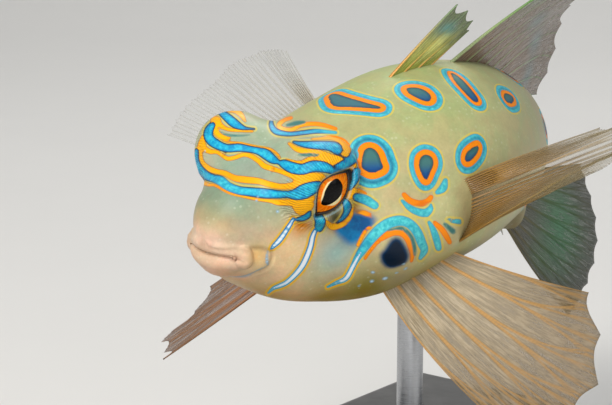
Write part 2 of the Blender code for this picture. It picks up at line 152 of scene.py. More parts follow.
# The almond between the lids, as angles at the eyeball's centre: half its length, how far its middle lies
# up along it, how far its upper and lower edges lie from the gaze, how far its two tips lie below it, and
# its turn
ALMOND_LONG = 48.5
ALMOND_SHIFT = 3.5
ALMOND_UPPER = 38.5
ALMOND_LOWER = 23.5
ALMOND_TIPS = 6.5
ALMOND_TURN = 42.0
# How far the lids round over towards the eyeball, where their edge lies, how deep and how steeply the skin
# goes under it, and how far from the eyeball's centre the opening is measured
LID_ROUNDING = 0.75 * MM
LID_EDGE = 2.36 * MM
LID_UNDER = 1.9 * MM
LID_DIVE = 1.5
LID_SIGHT = 2.6 * MM
# Round an eye, in mm: between which distances from its centre its colours fade, and how far behind it they
# stop, how far from it the lids' dark paint can lie, and the width of that paint. Then what it gains
# towards the rear and the front tip of the opening, and from which share of its half length on
EYE_FADE = (3.6, 8.5)
EYE_REAR = (1.9, 3.2)
LID_PAINT_REACH = 4.2
LID_PAINT = 0.02
LID_PAINT_REAR = (0.10, 0.4)
LID_PAINT_FRONT = (0.06, 0.5)
# The dark margin of the lids, a thin roll along their edge, how far over that edge it lies, and the turn
# from which its direction is worked out
MARGIN_RADIUS = 0.065 * MM
MARGIN_SEGMENTS = 160
MARGIN_SIDES = 12
MARGIN_LIFT = 0.01 * MM
MARGIN_STEP = 0.02

# Nostrils, in mm and degrees: station, girth, half width and depth of the pit, height of its rim, and how
# dark the painted shade in the pit is. Then the rim's middle and half width, in half widths of the pit
NOSTRIL = (5.7, 32.0, 0.16, 0.24, 0.02, 0.6)
NOSTRIL_RIM = (1.7, 0.5)

# The skin's mesh: points round the body, rings along it, rings of the rounded end under the tail fin and
# how far it bulges, then ring and station in mm, and point down one side and girth angle
SKIN_SEGMENTS = 256
SKIN_RINGS = 380
END_RINGS = 8
END_DEPTH = 0.4 * MM
RING_PLAN = ((0, 0), (8, 0.4), (168, 11.5), (298, 30), (372, 52), (380, 52))
GIRTH_PLAN = ((0, 0), (92, 110), (128, 180))

# Pixels of the photograph to a millimetre at the head, how far a slanting surface may widen a line, over
# how many places that is evened out, and between which shares of a full view the skin takes a line's look
# in the photograph. Then how little of a full view still shows a place, and the steps in station and in
# girth to its neighbours, in mm and degrees
PICTURE_SCALE = 14.5
WIDEST_SPREAD = 1.7
EVENED_PLACES = 9
CLEARLY_SEEN = (0.02, 0.12)
JUST_SEEN = 0.08
STATION_STEP = np.array([0.2, 0.0])
GIRTH_STEP = np.array([0.0, 1.0])
# How far off the skin a look back to the camera starts, and where the skin is sought when a line of sight
# misses it
LOOK_START = 0.05 * MM
MISS_SEARCH = np.linspace(0.85, 1.15, 61) * CAMERA_DISTANCE
# How far apart lines and outlines are worked out, in a view's pixels, how far the fields round them reach,
# how far the skin may turn away from an outline's middle, and how many places are measured at a time
LINE_STEP = 5.0
OUTLINE_STEP = 6.0
LINE_REACH = 1.0
PATCH_REACH = 1.6 * MM
SAME_SIDE = 0.15
BATCH = 2000
# How much wider orange and white lines are painted than they are read, in mm
ORANGE_SWELL = 0.03
# The enlarged views of the photograph in which the markings are read: left and top edge, enlargement
VIEWS = {"head": (180.0, 95.0, 7.127), "flank": (300.0, 50.0, 6.533)}

# Blue bands: the view, then places across and down in it, each with the band's half width in mm
BLUE_BANDS = {
    "brow_upper": ("head", (
        (228, 215, 0.22), (205, 255, 0.30), (205, 300, 0.32), (245, 342, 0.32), (330, 378, 0.27),
        (420, 375, 0.27), (500, 387, 0.22), (560, 400, 0.25), (612, 422, 0.34), (660, 458, 0.29),
        (705, 480, 0.14), (745, 493, 0.30), (800, 518, 0.38), (870, 530, 0.36), (950, 508, 0.38),
        (1030, 515, 0.36), (1085, 538, 0.24),
    )),
    "brow_lower": ("head", (
        (116, 400, 0.16), (112, 470, 0.24), (140, 530, 0.28), (190, 575, 0.29), (240, 595, 0.27),
        (290, 612, 0.33), (345, 652, 0.30), (420, 680, 0.29), (500, 690, 0.30), (600, 700, 0.33),
        (700, 708, 0.27), (775, 708, 0.24), (830, 708, 0.38), (880, 690, 0.50), (930, 668, 0.45),
        (985, 648, 0.34),
    )),
    "far_mound": ("head", (
        (290, 122, 0.20), (340, 162, 0.28), (385, 200, 0.30), (430, 226, 0.20), (470, 238, 0.10),
        (530, 242, 0.05),
    )),
    "near_tongue": ("head", (
        (810, 335, 0.08), (860, 348, 0.17), (930, 355, 0.25), (1000, 358, 0.29), (1060, 362, 0.32),
        (1102, 372, 0.37), (1120, 386, 0.38),
    )),
    "mound_rear": ("head", (
        (1240, 392, 0.16), (1243, 425, 0.30), (1225, 458, 0.33), (1190, 484, 0.33), (1150, 507, 0.29),
        (1108, 524, 0.22),
    )),
    "lid_rear": ("head", ((1262, 545, 0.26), (1235, 600, 0.36), (1203, 655, 0.26))),
    "lid_lower_rear": ("head", (
        (1168, 748, 0.18), (1193, 792, 0.28), (1183, 842, 0.20), (1150, 886, 0.13), (1118, 913, 0.06),
    )),
    "lid_lump": ("head", ((985, 866, 0.30), (1000, 905, 0.36), (990, 945, 0.30))),
    "lid_lower_front": ("head", ((828, 888, 0.10), (872, 880, 0.18), (910, 860, 0.19), (926, 834, 0.10))),
    "nape": ("head", (
        (650, 178, 0.10), (655, 225, 0.18), (690, 262, 0.20), (780, 278, 0.15), (880, 268, 0.15),
        (980, 258, 0.15), (1110, 268, 0.10),
    )),
    "eye_bar": ("flank", ((372, 962, 0.28), (430, 980, 0.33), (488, 1015, 0.28))),
    "shoulder_hook": ("flank", (
        (300, 1490, 0.14), (340, 1422, 0.19), (375, 1357, 0.25), (420, 1290, 0.31), (470, 1225, 0.36),
        (530, 1165, 0.38), (590, 1128, 0.37), (660, 1115, 0.35), (720, 1138, 0.33), (765, 1190, 0.33),
        (795, 1260, 0.32), (812, 1308, 0.26), (785, 1362, 0.12),
    )),
    "smile": ("flank", (
        (668, 985, 0.10), (710, 1026, 0.20), (765, 1056, 0.25), (818, 1064, 0.28), (850, 1040, 0.22),
        (856, 1010, 0.08),
    )),
    "arm_front": ("flank", ((840, 1120, 0.10), (868, 1170, 0.20), (890, 1230, 0.25), (905, 1292, 0.22))),
    "arm_upper": ("flank", ((970, 1112, 0.13), (1040, 1122, 0.18))),
    "spot_drop": ("flank", ((950, 852, 0.16), (935, 900, 0.28), (898, 930, 0.16))),
}

# Orange and yellow lines, in the same way
ORANGE_BANDS = {
    "far_mound_top": ("head", ((330, 102, 0.14), (400, 113, 0.16), (440, 146, 0.14), (465, 188, 0.06))),
    "far_mound_under": ("head", (
        (262, 178, 0.24), (290, 216, 0.15), (340, 244, 0.10), (400, 251, 0.09), (515, 258, 0.06),
    )),
    "far_mound_hook": ("head", (
        (246, 178, 0.26), (246, 230, 0.20), (266, 275, 0.18), (302, 300, 0.15), (352, 309, 0.08),
    )),
    "over_brow": ("head", (
        (300, 318, 0.05), (350, 335, 0.05), (440, 345, 0.05), (560, 372, 0.05), (640, 385, 0.06),
        (690, 418, 0.06), (712, 448, 0.05),
    )),
    "under_brow": ("head", (
        (160, 330, 0.16), (172, 378, 0.18), (215, 403, 0.14), (262, 407, 0.10), (300, 430, 0.10),
        (340, 453, 0.12), (390, 446, 0.12), (450, 426, 0.12), (500, 433, 0.14), (560, 470, 0.15),
        (600, 505, 0.17), (660, 526, 0.15), (720, 546, 0.13), (790, 572, 0.16), (850, 592, 0.28),
        (930, 590, 0.33), (1012, 590, 0.28),
    )),
    "over_lower_brow": ("head", (
        (142, 385, 0.12), (152, 470, 0.15), (200, 522, 0.18), (260, 545, 0.15), (320, 558, 0.16),
        (390, 592, 0.19), (470, 604, 0.21), (560, 614, 0.19), (640, 637, 0.18), (720, 652, 0.17),
        (800, 645, 0.20), (870, 620, 0.25), (950, 606, 0.28),
    )),
    "far_edge": ("head", ((165, 300, 0.14), (136, 380, 0.14), (130, 455, 0.11))),
    "under_lower_brow": ("head", (
        (92, 470, 0.14), (100, 550, 0.20), (130, 605, 0.16), (200, 638, 0.09), (250, 645, 0.06),
        (350, 697, 0.06), (450, 722, 0.07), (550, 744, 0.07), (640, 755, 0.10), (700, 766, 0.17),
        (760, 766, 0.19), (830, 766, 0.24), (900, 748, 0.28), (945, 738, 0.18),
    )),
    "lid_front": ("head", ((822, 800, 0.18), (860, 822, 0.30), (905, 806, 0.30), (938, 780, 0.18))),
    "tongue_round": ("head", (
        (778, 345, 0.08), (830, 385, 0.15), (900, 402, 0.17), (980, 410, 0.18), (1040, 430, 0.21),
        (1090, 455, 0.26), (1140, 450, 0.26), (1181, 415, 0.28), (1184, 368, 0.26), (1150, 326, 0.19),
        (1080, 304, 0.13), (1000, 308, 0.09), (940, 314, 0.05),
    )),
    "tongue_under": ("head", (
        (760, 465, 0.08), (850, 484, 0.12), (920, 458, 0.13), (1000, 452, 0.15), (1060, 474, 0.18),
        (1098, 486, 0.18),
    )),
    "mound_rear_edge": ("head", ((1215, 528, 0.18), (1240, 490, 0.18), (1262, 447, 0.13))),
    "lid_rear_fold": ("head", ((1212, 716, 0.24), (1236, 692, 0.28), (1258, 692, 0.16))),
    "lid_under_edge": ("head", (
        (1232, 815, 0.10), (1212, 868, 0.12), (1180, 908, 0.13), (1140, 928, 0.18), (1085, 938, 0.20),
        (1045, 908, 0.12),
    )),
    "nape": ("head", (
        (792, 163, 0.09), (740, 180, 0.12), (705, 215, 0.14), (735, 243, 0.14), (800, 245, 0.12),
        (860, 215, 0.12), (940, 205, 0.12), (1020, 213, 0.12), (1110, 240, 0.09),
    )),
    "bar_over": ("flank", ((385, 915, 0.09), (430, 936, 0.05))),
    "bar_under": ("flank", ((345, 1045, 0.13), (400, 1056, 0.16), (468, 1085, 0.13))),
    "hook_outside": ("flank", ((470, 1150, 0.08), (430, 1180, 0.10), (400, 1230, 0.10), (378, 1275, 0.09))),
    "hook_inside": ("flank", (
        (425, 1362, 0.08), (455, 1318, 0.09), (510, 1252, 0.12), (570, 1208, 0.20), (620, 1190, 0.22),
        (670, 1198, 0.22), (704, 1232, 0.22), (722, 1280, 0.20), (733, 1330, 0.15), (728, 1380, 0.08),
    )),
    "smile": ("flank", (
        (680, 945, 0.14), (720, 985, 0.19), (780, 1003, 0.20), (830, 990, 0.19), (855, 962, 0.14),
    )),
    "arm": ("flank", ((880, 1130, 0.13), (925, 1170, 0.17), (958, 1220, 0.17), (978, 1256, 0.13))),
}

# Pale streaks with blue edges and a yellow outline on the cheek
WHITE_STREAKS = {
    "cheek_front": ("head", (
        (808, 885, 0.02), (780, 930, 0.06), (735, 1000, 0.09), (700, 1045, 0.09), (668, 1076, 0.05),
        (650, 1098, -0.02),
    )),
    "cheek_middle": ("head", (
        (962, 970, 0.06), (945, 1012, 0.09), (930, 1080, 0.11), (905, 1150, 0.12), (870, 1220, 0.12),
        (820, 1282, 0.10), (760, 1336, 0.08), (710, 1360, 0.06), (665, 1378, 0.02), (628, 1412, -0.04),
    )),
    "hook_start": ("flank", (
        (180, 1548, -0.03), (235, 1522, 0.02), (300, 1492, 0.09), (340, 1425, 0.09), (375, 1360, 0.06),
        (400, 1320, 0.02),
    )),
}
# How far the blue edges of the streaks reach past them, in mm
STREAK_EDGE = 0.085
# Dull teal pockets between orange lines
TEAL_BANDS = {
    "tongue_pocket": ("head", ((840, 428, 0.06), (900, 426, 0.12), (960, 427, 0.12), (992, 428, 0.05))),
    "nape_pocket": ("head", ((765, 215, 0.10), (830, 201, 0.17), (885, 193, 0.10))),
    "hook_shadow": ("flank", (
        (560, 1192, 0.06), (590, 1172, 0.11), (630, 1162, 0.14), (680, 1172, 0.14), (728, 1222, 0.14),
        (748, 1290, 0.14), (748, 1340, 0.08),
    )),
    "arm_pocket": ("flank", ((945, 1135, 0.12), (1000, 1185, 0.20))),
    "far_mound_pocket": ("head", ((285, 262, 0.05), (340, 285, 0.09), (420, 290, 0.07), (500, 285, 0.03))),
}


# A spot that isn't mirrored on the far side
NEAR_SPOTS = ("back",)
# How near a core a place takes its depth of colour, in mm
CORE_REACH = 0.2

# Target spots: the view, the core's outline, then the widths of its orange and blue rings in mm
SPOTS = {
    "shoulder": ("flank", (
        (430, 648), (470, 642), (508, 676), (530, 735), (540, 770), (505, 792), (465, 800), (428, 785),
        (405, 760), (410, 700),
    ), 0.48, 0.60),
    "flank": ("flank", (
        (792, 702), (822, 686), (858, 700), (870, 742), (852, 792), (826, 846), (800, 818), (782, 768),
        (781, 728),
    ), 0.42, 0.36),
    "rear_flank": ("flank", (
        (1080, 722), (1086, 680), (1120, 645), (1163, 626), (1160, 664), (1132, 704), (1104, 726),
    ), 0.42, 0.46),
    "nape_side": ("flank", (
        (190, 300), (232, 287), (300, 307), (380, 331), (450, 351), (518, 370), (515, 383), (440, 378),
        (330, 372), (242, 369), (205, 349),
    ), 0.42, 0.42),
    "back": ("flank", (
        (700, 252), (760, 247), (818, 266), (852, 300), (848, 328), (820, 334), (770, 314), (716, 284),
    ), 0.46, 0.44),
    "back_middle": ("flank", (
        (990, 150), (1050, 185), (1115, 255), (1165, 325), (1140, 338), (1075, 275), (1010, 200),
    ), 0.34, 0.42),
    "back_far": ("flank", ((1340, 285), (1385, 300), (1395, 335), (1360, 345), (1335, 315)), 0.36, 0.46),
}
# Spots past what the photograph shows, by station in mm, girth angle, half length and half width of the
# core in mm, and its tilt. Each is made on both sides, with rings of these widths, from so many points
REAR_SPOTS = {
    "back_rear": (29.0, 22, 0.9, 0.5, 10),
    "side_rear": (31.5, 66, 0.9, 0.7, 20),
    "belly_rear": (28.0, 112, 1.0, 0.5, 0),
    "tail_top": (36.5, 32, 0.9, 0.5, 0),
    "tail_side": (38.0, 92, 0.8, 0.5, 0),
    "stalk_top": (43.0, 48, 0.7, 0.4, 0),
    "stalk_low": (44.5, 122, 0.7, 0.35, 0),
    "stalk_end": (48.8, 86, 0.6, 0.35, 90),
}
REAR_RINGS = (0.36, 0.40)
REAR_POINTS = 48
# Dark blue cores
NAVY_PATCHES = {
    "hook_core": ("flank", (
        (612, 1226), (655, 1228), (690, 1275), (714, 1338), (696, 1388), (645, 1416), (580, 1426),
        (534, 1392), (522, 1338), (552, 1298), (582, 1252),
    )),
}
# Deep blue skin behind and below the eye, with soft edges
STAINS = {
    "behind_eye": ("head", (
        (1175, 842), (1240, 838), (1330, 850), (1385, 880), (1378, 930), (1325, 985), (1262, 1040),
        (1205, 1050), (1150, 1010), (1105, 960), (1135, 900),
    )),
}
# Pale lines and dots, with their half widths in mm
PALE_LINES = {
    "jaw": ("head", (
        (590, 1232, 0.04), (560, 1250, 0.06), (489, 1288, 0.07), (428, 1300, 0.06), (346, 1296, 0.02),
    )),
}
PALE_DOTS = {
    "belly_dots": ("flank", (
        (476, 1453, 0.17), (470, 1510, 0.18), (556, 1492, 0.23), (690, 1428, 0.19), (632, 1455, 0.15),
        (676, 1400, 0.14), (386, 1540, 0.12),
    )),
    "snout_dots": ("head", ((555, 725, 0.07), (545, 752, 0.08), (695, 830, 0.10), (770, 610, 0.09))),
    "jaw_dots": ("head", (
        (628, 1120, 0.08), (620, 1142, 0.10), (618, 1166, 0.12), (621, 1190, 0.13), (628, 1212, 0.13),
        (606, 1230, 0.10),
    )),
}


def paint(red, green, blue):
    """A colour from 0 to 255, as light."""
    share = np.array([red, green, blue], float) / 255.0
    return np.where(share <= 0.04045, share / 12.92, ((share + 0.055) / 1.055) ** 2.4)


# Ground colours by station in mm: back, side, belly
GROUND = (
    (0.0, paint(222, 190, 168), paint(242, 196, 178), paint(234, 188, 156)),
    (2.5, paint(190, 194, 172), paint(222, 198, 170), paint(220, 180, 136)),
    (6.0, paint(168, 184, 164), paint(206, 198, 164), paint(224, 184, 126)),
    (11.0, paint(182, 184, 132), paint(206, 192, 146), paint(176, 148, 70)),
    (18.0, paint(176, 184, 126), paint(200, 194, 142), paint(152, 128, 60)),
    (30.0, paint(186, 180, 144), paint(196, 190, 154), paint(168, 150, 108)),
    (52.0, paint(176, 166, 126), paint(184, 174, 136), paint(164, 146, 108)),
)
# Girth angles between which the side's colour passes into the belly's, and the back's into the side's
BELLY_GIRTH = (100.0, 160.0)
BACK_GIRTH = (20.0, 75.0)
# Soft washes over the ground: view, place, half width in mm, strength, colour
WASHES = {
    "snout_green": ("head", (400, 780), 2.6, 0.75, paint(136, 158, 130)),
    "cheek_green": ("head", (670, 840), 1.2, 0.60, paint(134, 160, 136)),
    "forehead_green": ("head", (500, 500), 1.5, 0.60, paint(156, 176, 160)),
    "snout_edge_green": ("head", (190, 740), 1.5, 0.60, paint(132, 154, 136)),
    "snout_warm": ("head", (280, 950), 1.3, 0.50, paint(206, 170, 108)),
    "crown_tan": ("head", (820, 235), 1.0, 0.60, paint(188, 160, 126)),
    "cheek_peach": ("head", (770, 1130), 2.2, 0.90, paint(255, 214, 164)),
    "under_eye_glow": ("head", (868, 935), 0.80, 1.00, paint(228, 138, 0)),
    "lip_pink": ("head", (240, 1060), 1.0, 0.85, paint(248, 206, 186)),
    "lower_lip_pink": ("head", (200, 1200), 1.2, 0.85, paint(228, 190, 164)),
    "lip_corner_pink": ("head", (400, 1150), 1.0, 0.70, paint(240, 200, 172)),
    "jaw_gold": ("head", (560, 1190), 0.9, 0.55, paint(224, 192, 140)),
    "throat_gold": ("head", (600, 1430), 1.5, 0.75, paint(190, 140, 30)),
    "maxilla_gold": ("head", (545, 1135), 0.75, 0.60, paint(242, 190, 104)),
    "cheek_ice": ("head", (1100, 1130), 1.40, 0.90, paint(168, 204, 200)),
    "cheek_blue": ("head", (1230, 1010), 0.95, 0.80, paint(96, 142, 178)),
    "lid_under": ("head", (1108, 872), 0.70, 0.96, paint(62, 62, 18)),
    "lid_under_glow": ("head", (1100, 945), 0.40, 0.85, paint(206, 150, 16)),
    "lid_rear": ("head", (1238, 700), 0.75, 0.95, paint(196, 146, 14)),
    "lid_rear_top": ("head", (1245, 500), 0.45, 0.90, paint(190, 146, 20)),
    "lid_rear_low": ("head", (1233, 790), 0.55, 0.90, paint(190, 140, 14)),
    "belly_gold": ("head", (1040, 1440), 1.3, 0.75, paint(160, 134, 20)),
    "flank_green": ("flank", (700, 780), 1.4, 0.30, paint(178, 176, 132)),
    "belly_blue": ("flank", (640, 1500), 1.3, 0.40, paint(120, 140, 130)),
    "belly_olive": ("flank", (420, 1560), 1.7, 0.80, paint(140, 122, 16)),
    "belly_rear_olive": ("flank", (800, 1500), 2.0, 0.60, paint(150, 124, 40)),
}


def between_rows(rows, place):
    """A table's values at a place in its first column, by a smooth curve that stays flat past its ends."""
    table = np.asarray(rows, float)
    at, values = table[:, 0], table[:, 1:]
    slopes = np.gradient(values, at, axis=0)
    place = np.clip(np.atleast_1d(place), at[0], at[-1])
    row = np.clip(np.searchsorted(at, place, side="right") - 1, 0, len(at) - 2)
    span = at[row + 1] - at[row]
    t = ((place - at[row]) / span)[:, None]
    span = span[:, None]
    start = (2 * t**3 - 3 * t**2 + 1) * values[row] + (t**3 - 2 * t**2 + t) * span * slopes[row]
    end = (3 * t**2 - 2 * t**3) * values[row + 1] + (t**3 - t**2) * span * slopes[row + 1]
    return start + end


def turned_axes(yaw, pitch, roll):
    """Forward, left and up for these angles in degrees."""
    yaw, pitch, roll = np.radians(yaw), np.radians(pitch), np.radians(roll)
    flat_forward = np.stack([np.sin(yaw), -np.cos(yaw), 0 * yaw], -1)
    level_left = np.stack([np.cos(yaw), np.sin(yaw), 0 * yaw], -1)
    upright = np.array([0.0, 0.0, 1.0])
    forward = flat_forward * np.cos(pitch)[:, None] + upright * np.sin(pitch)[:, None]
    level_up = upright * np.cos(pitch)[:, None] - flat_forward * np.sin(pitch)[:, None]
    left = level_left * np.cos(roll)[:, None] - level_up * np.sin(roll)[:, None]
    up = level_up * np.cos(roll)[:, None] + level_left * np.sin(roll)[:, None]
    return forward, left, up


class Spine:
    """The bent line that the fish is built along, from its mouth to the root of its tail fin."""

    def __init__(self):
        self.stations = np.arange(0.0, BODY_LENGTH + SPINE_STEP / 2, SPINE_STEP)
        yaw, pitch, roll = between_rows(SPINE_TURNS, self.stations / MM).T
        self.forward, self.left, self.up = turned_axes(yaw, pitch, roll)
        self.line = np.cumsum(-self.forward * SPINE_STEP, axis=0)
        anchor = np.array([np.interp(ANCHOR_STATION, self.stations, c) for c in self.line.T])
        self.line += np.array([0.0, 0.0, ANCHOR_HEIGHT]) - anchor

    def read(self, table, station):
        return np.stack([np.interp(station, self.stations, c) for c in table.T], -1)

    def axes(self, station):
        station = np.clip(station, 0.0, BODY_LENGTH)
        return [self.read(table, station) for table in (self.forward, self.left, self.up)]

    def place(self, local):
        """World places of local ones, each a station, a side and a rise."""
        held = np.clip(local[:, 0], 0.0, BODY_LENGTH)
        forward, left, up = self.axes(held)
        ahead = (held - local[:, 0])[:, None]
        return self.read(self.line, held) + forward * ahead + left * local[:, 1:2] + up * local[:, 2:3]


SPINE = Spine()


def signed_power(value, power):
    return np.sign(value) * np.abs(value) ** power


def smooth_maximum(a, b, softness):
    overlap = np.clip(softness - np.abs(a - b), 0.0, None) / softness
    return np.maximum(a, b) + overlap**2 * softness / 4


def smooth_step(low, high, value):
    share = np.clip((value - low) / (high - low), 0.0, 1.0)
    return share * share * (3.0 - 2.0 * share)


def bell(gap, width):
    """1 where there is no gap, fading over about this width."""
    return np.exp(-((gap / width) ** 2))


def blend(a, b, share):
    return a * (1 - share) + b * share


def unit(vectors):
    return vectors / norm(vectors, axis=-1, keepdims=True)


def depth_inside(places, line, halves=0.0):
    """How deep places lie inside a line of these half widths, and below 0 how far outside it."""
    depth = np.empty(len(places))
    for part in np.array_split(np.arange(len(places)), max(1, len(places) // BATCH)):
        depth[part] = (halves - norm(places[part][:, None] - line, axis=2)).max(1)
    return depth


def enclosed(flat, loop):
    """True where flat places lie inside a closed outline."""
    held = np.zeros(len(flat), bool)
    for (ax, ay), (bx, by) in zip(loop, np.roll(loop, -1, axis=0)):
        crosses = (ay > flat[:, 1]) != (by > flat[:, 1])
        at = (bx - ax) * (flat[:, 1] - ay) / (by - ay if by != ay else 1e-12) + ax
        held ^= crosses & (flat[:, 0] < at)
    return held


def swell(local, centre, half_sizes, softness):
    """Pushes what lies inside an ellipsoid out to its surface."""
    scaled = (local - centre) / half_sizes
    reach = np.maximum(norm(scaled, axis=1, keepdims=True), 1e-6)
    return centre + scaled * smooth_maximum(reach, 1.0, softness) / reach * half_sizes


def lip_line(across, lip):
    front, middle, sweep, lift, _ = lip
    share = (across / MOUTH_HALF_WIDTH) ** 2
    return np.stack([(front + sweep * share) * MM, across, (middle + lift * share) * MM], -1)


def purse_lips(local):
    """Rounds the skin out over each lip."""
    across = np.clip(local[:, 1], -MOUTH_HALF_WIDTH, MOUTH_HALF_WIDTH)
    for lip in LIPS.values():
        centre = lip_line(across, lip)
        offset = local - centre
        reach = np.maximum(norm(offset, axis=1), 1e-9)
        over = smooth_maximum(reach, lip[4] * MM, LIP_BLEND)
        local = centre + offset * (over / reach)[:, None]
    return local


def skin_local(station, girth):
    """Local places on the skin, for arrays of stations and of girth angles in degrees."""
    station = np.atleast_1d(np.asarray(station, float))
    girth = np.radians(np.atleast_1d(np.asarray(girth, float)))
    width, back, belly = between_rows(BODY_SECTIONS, station / MM).T * MM
    blunt = np.clip(1.0 - station / NOSE_ROUNDING, 0.0, 1.0)
    nose = np.sqrt(1.0 - blunt**2)
    fullness = np.where(np.cos(girth) > 0, BACK_FULLNESS, BELLY_FULLNESS)
    height = np.where(np.cos(girth) > 0, back, belly)
    side = width * nose * signed_power(np.sin(girth), 2 / fullness)
    rise = height * nose * signed_power(np.cos(girth), 2 / fullness)
    local = np.stack([station, side, rise], -1)
    for name, (at, out, high, long, wide, tall, softness) in SWELLINGS.items():
        for hand in HANDS if out and name not in LEFT_ONLY else HANDS[:1]:
            centre = np.array([at, out * hand, high]) * MM
            local = swell(local, centre, np.array([long, wide, tall]) * MM, softness)
    return purse_lips(local)


def eye_frame(hand):
    """An eye's centre, and its axes along the head, across it and out along the gaze, in the world."""
    centre = SPINE.place(np.array([[EYE_STATION, EYE_SIDE * hand, EYE_RISE]]))[0]
    forward, left, up = [axis[0] for axis in SPINE.axes(np.array([EYE_STATION]))]
    back, out, rise = EYE_GAZE
    gaze = unit(-back * forward + out * hand * left + rise * up)
    along = unit(-forward - (-forward @ gaze) * gaze)
    return centre, np.array([along, np.cross(gaze, along), gaze])


def from_eye(places, hand):
    """Places from an eye's centre: along the head, across and out, how far, and degrees from the gaze."""
    centre, axes = eye_frame(hand)
    offset = (places - centre) @ axes.T
    reach = np.maximum(norm(offset, axis=1), 1e-9)
    return offset, reach, np.degrees(np.arccos(np.clip(offset[:, 2] / reach, -1.0, 1.0)))


def to_reach(places, hand, wanted, reach):
    """Moves places to and from an eye's centre."""
    centre = eye_frame(hand)[0]
    return centre + (places - centre) * (wanted / reach)[:, None]


def seat_eyes(places):
    """Draws the skin over each eyeball as closed lids, with a groove round them."""
    for hand in HANDS:
        _, reach, angle = from_eye(places, hand)
        ahead = np.clip((ORBIT_ANGLES[1] - angle) / (ORBIT_ANGLES[1] - ORBIT_ANGLES[0]), 0.0, 1.0)
        past = np.clip((reach - LID_COVER) / ORBIT_REACH, 0.0, 1.0)
        sunk = reach - ORBIT_REACH * ORBIT_GROOVE * 4.0 * past * (1.0 - past) ** 2 * ahead
        places = to_reach(places, hand, smooth_maximum(sunk, LID_COVER, LID_BLEND), reach)
    return places


def almond_place(places, hand):
    """How far places lie outside the opening between the lids, and how far along it, from its front."""
    offset, _, angle = from_eye(places, hand)
    turn = np.arctan2(offset[:, 1], offset[:, 0]) - math.radians(ALMOND_TURN) * hand
    long, high = angle * np.cos(turn), angle * np.sin(turn) * hand
    share = (long - ALMOND_SHIFT) / ALMOND_LONG
    outside = []
    for side, middle, fall in almond_edges():
        edge, slope = middle - fall * share**2, 2.0 * fall * share / ALMOND_LONG
        outside.append((side * high - edge) / np.hypot(1.0, slope))
    return np.radians(np.maximum(*outside)) * LID_SIGHT, share


def almond_edges():
    """The upper and the lower edge: the side, how far out its middle lies and its fall towards the tips."""
    upper = (1.0, ALMOND_UPPER, ALMOND_UPPER + ALMOND_TIPS)
    return upper, (-1.0, ALMOND_LOWER, ALMOND_LOWER - ALMOND_TIPS)


def open_lids(places):
    """Rounds the lids over towards each eyeball, and takes the skin inside their edge under it."""
    for hand in HANDS:
        offset, reach, _ = from_eye(places, hand)
        outside, _ = almond_place(places, hand)
        share = np.clip(outside / LID_ROUNDING, 0.0, 1.0)
        over = LID_EDGE + (reach - LID_EDGE) * np.sqrt(1.0 - (1.0 - share) ** 2)
        under = np.maximum(LID_EDGE + outside * LID_DIVE, LID_UNDER)
        wanted = np.where(outside < 0.0, under, over)
        wanted = np.where((offset[:, 2] > 0) & (outside < LID_ROUNDING), wanted, reach)
        places = to_reach(places, hand, wanted, reach)
    return places


def towards(turn, rise):
    """The way out from the fish at this turn and rise, in degrees."""
    turn, rise = math.radians(turn), math.radians(rise)
    return np.array([math.sin(turn) * math.cos(rise), -math.cos(turn) * math.cos(rise), math.sin(rise)])


def camera_axes():
    """The camera's place, and its right, up and back directions."""
    back, right = towards(CAMERA_TURN, CAMERA_RISE), towards(CAMERA_TURN + 90.0, 0.0)
    return np.array(CAMERA_TARGET) + back * CAMERA_DISTANCE, right, np.cross(back, right), back


def read_all(items, name, kind=np.float32):
    """Three numbers from each of a mesh's items."""
    flat = np.empty(len(items) * 3, kind)
    items.foreach_get(name, flat)
    return flat.reshape(-1, 3)


def vertex_places(piece):
    return read_all(piece.data.vertices, "co").astype(float)


def write_layers(piece, layers):
    """Stores numbers or colours at each vertex, for the materials."""
    for name, values in layers.items():
        values = np.asarray(values, np.float32)
        if values.ndim == 2:
            values = np.concatenate([values, np.ones((len(values), 1), np.float32)], axis=1)
            layer = piece.data.attributes.new(name, "FLOAT_COLOR", "POINT")
            layer.data.foreach_set("color", values.ravel())
        else:
            layer = piece.data.attributes.new(name, "FLOAT", "POINT")
            layer.data.foreach_set("value", values)


def add_primitive(name, operator, **sizes):
    """A new primitive under this name, with nothing else selected."""
    bpy.ops.object.select_all(action="DESELECT")
    operator(**sizes)
    piece = bpy.context.active_object
    piece.name = piece.data.name = name
    return piece


def work(piece, name, kind, **settings):
    """Adds a modifier to a piece and applies it."""
    modifier = piece.modifiers.new(name, kind)
    for setting, value in settings.items():
        setattr(modifier, setting, value)
    bpy.context.view_layer.objects.active = piece
    bpy.ops.object.modifier_apply(modifier=name)


def coat(piece, material):
    piece.data.materials.clear()
    piece.data.materials.append(material)


def move_vertices(piece, places):
    piece.data.vertices.foreach_set("co", np.asarray(places, np.float32).ravel())
    piece.data.update()


def face_outwards(piece):
    bpy.context.view_layer.objects.active = piece
    bpy.ops.object.mode_set(mode="EDIT")
    bpy.ops.mesh.select_all(action="SELECT")
    bpy.ops.mesh.normals_make_consistent(inside=False)
    bpy.ops.object.mode_set(mode="OBJECT")


def finish_piece(piece, material, slot, *nodes):
    """Gives a piece its material, and puts it in the place of CAD nodes."""
    coat(piece, material)
    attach(piece, "root")
    if nodes:
        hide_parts(*nodes)


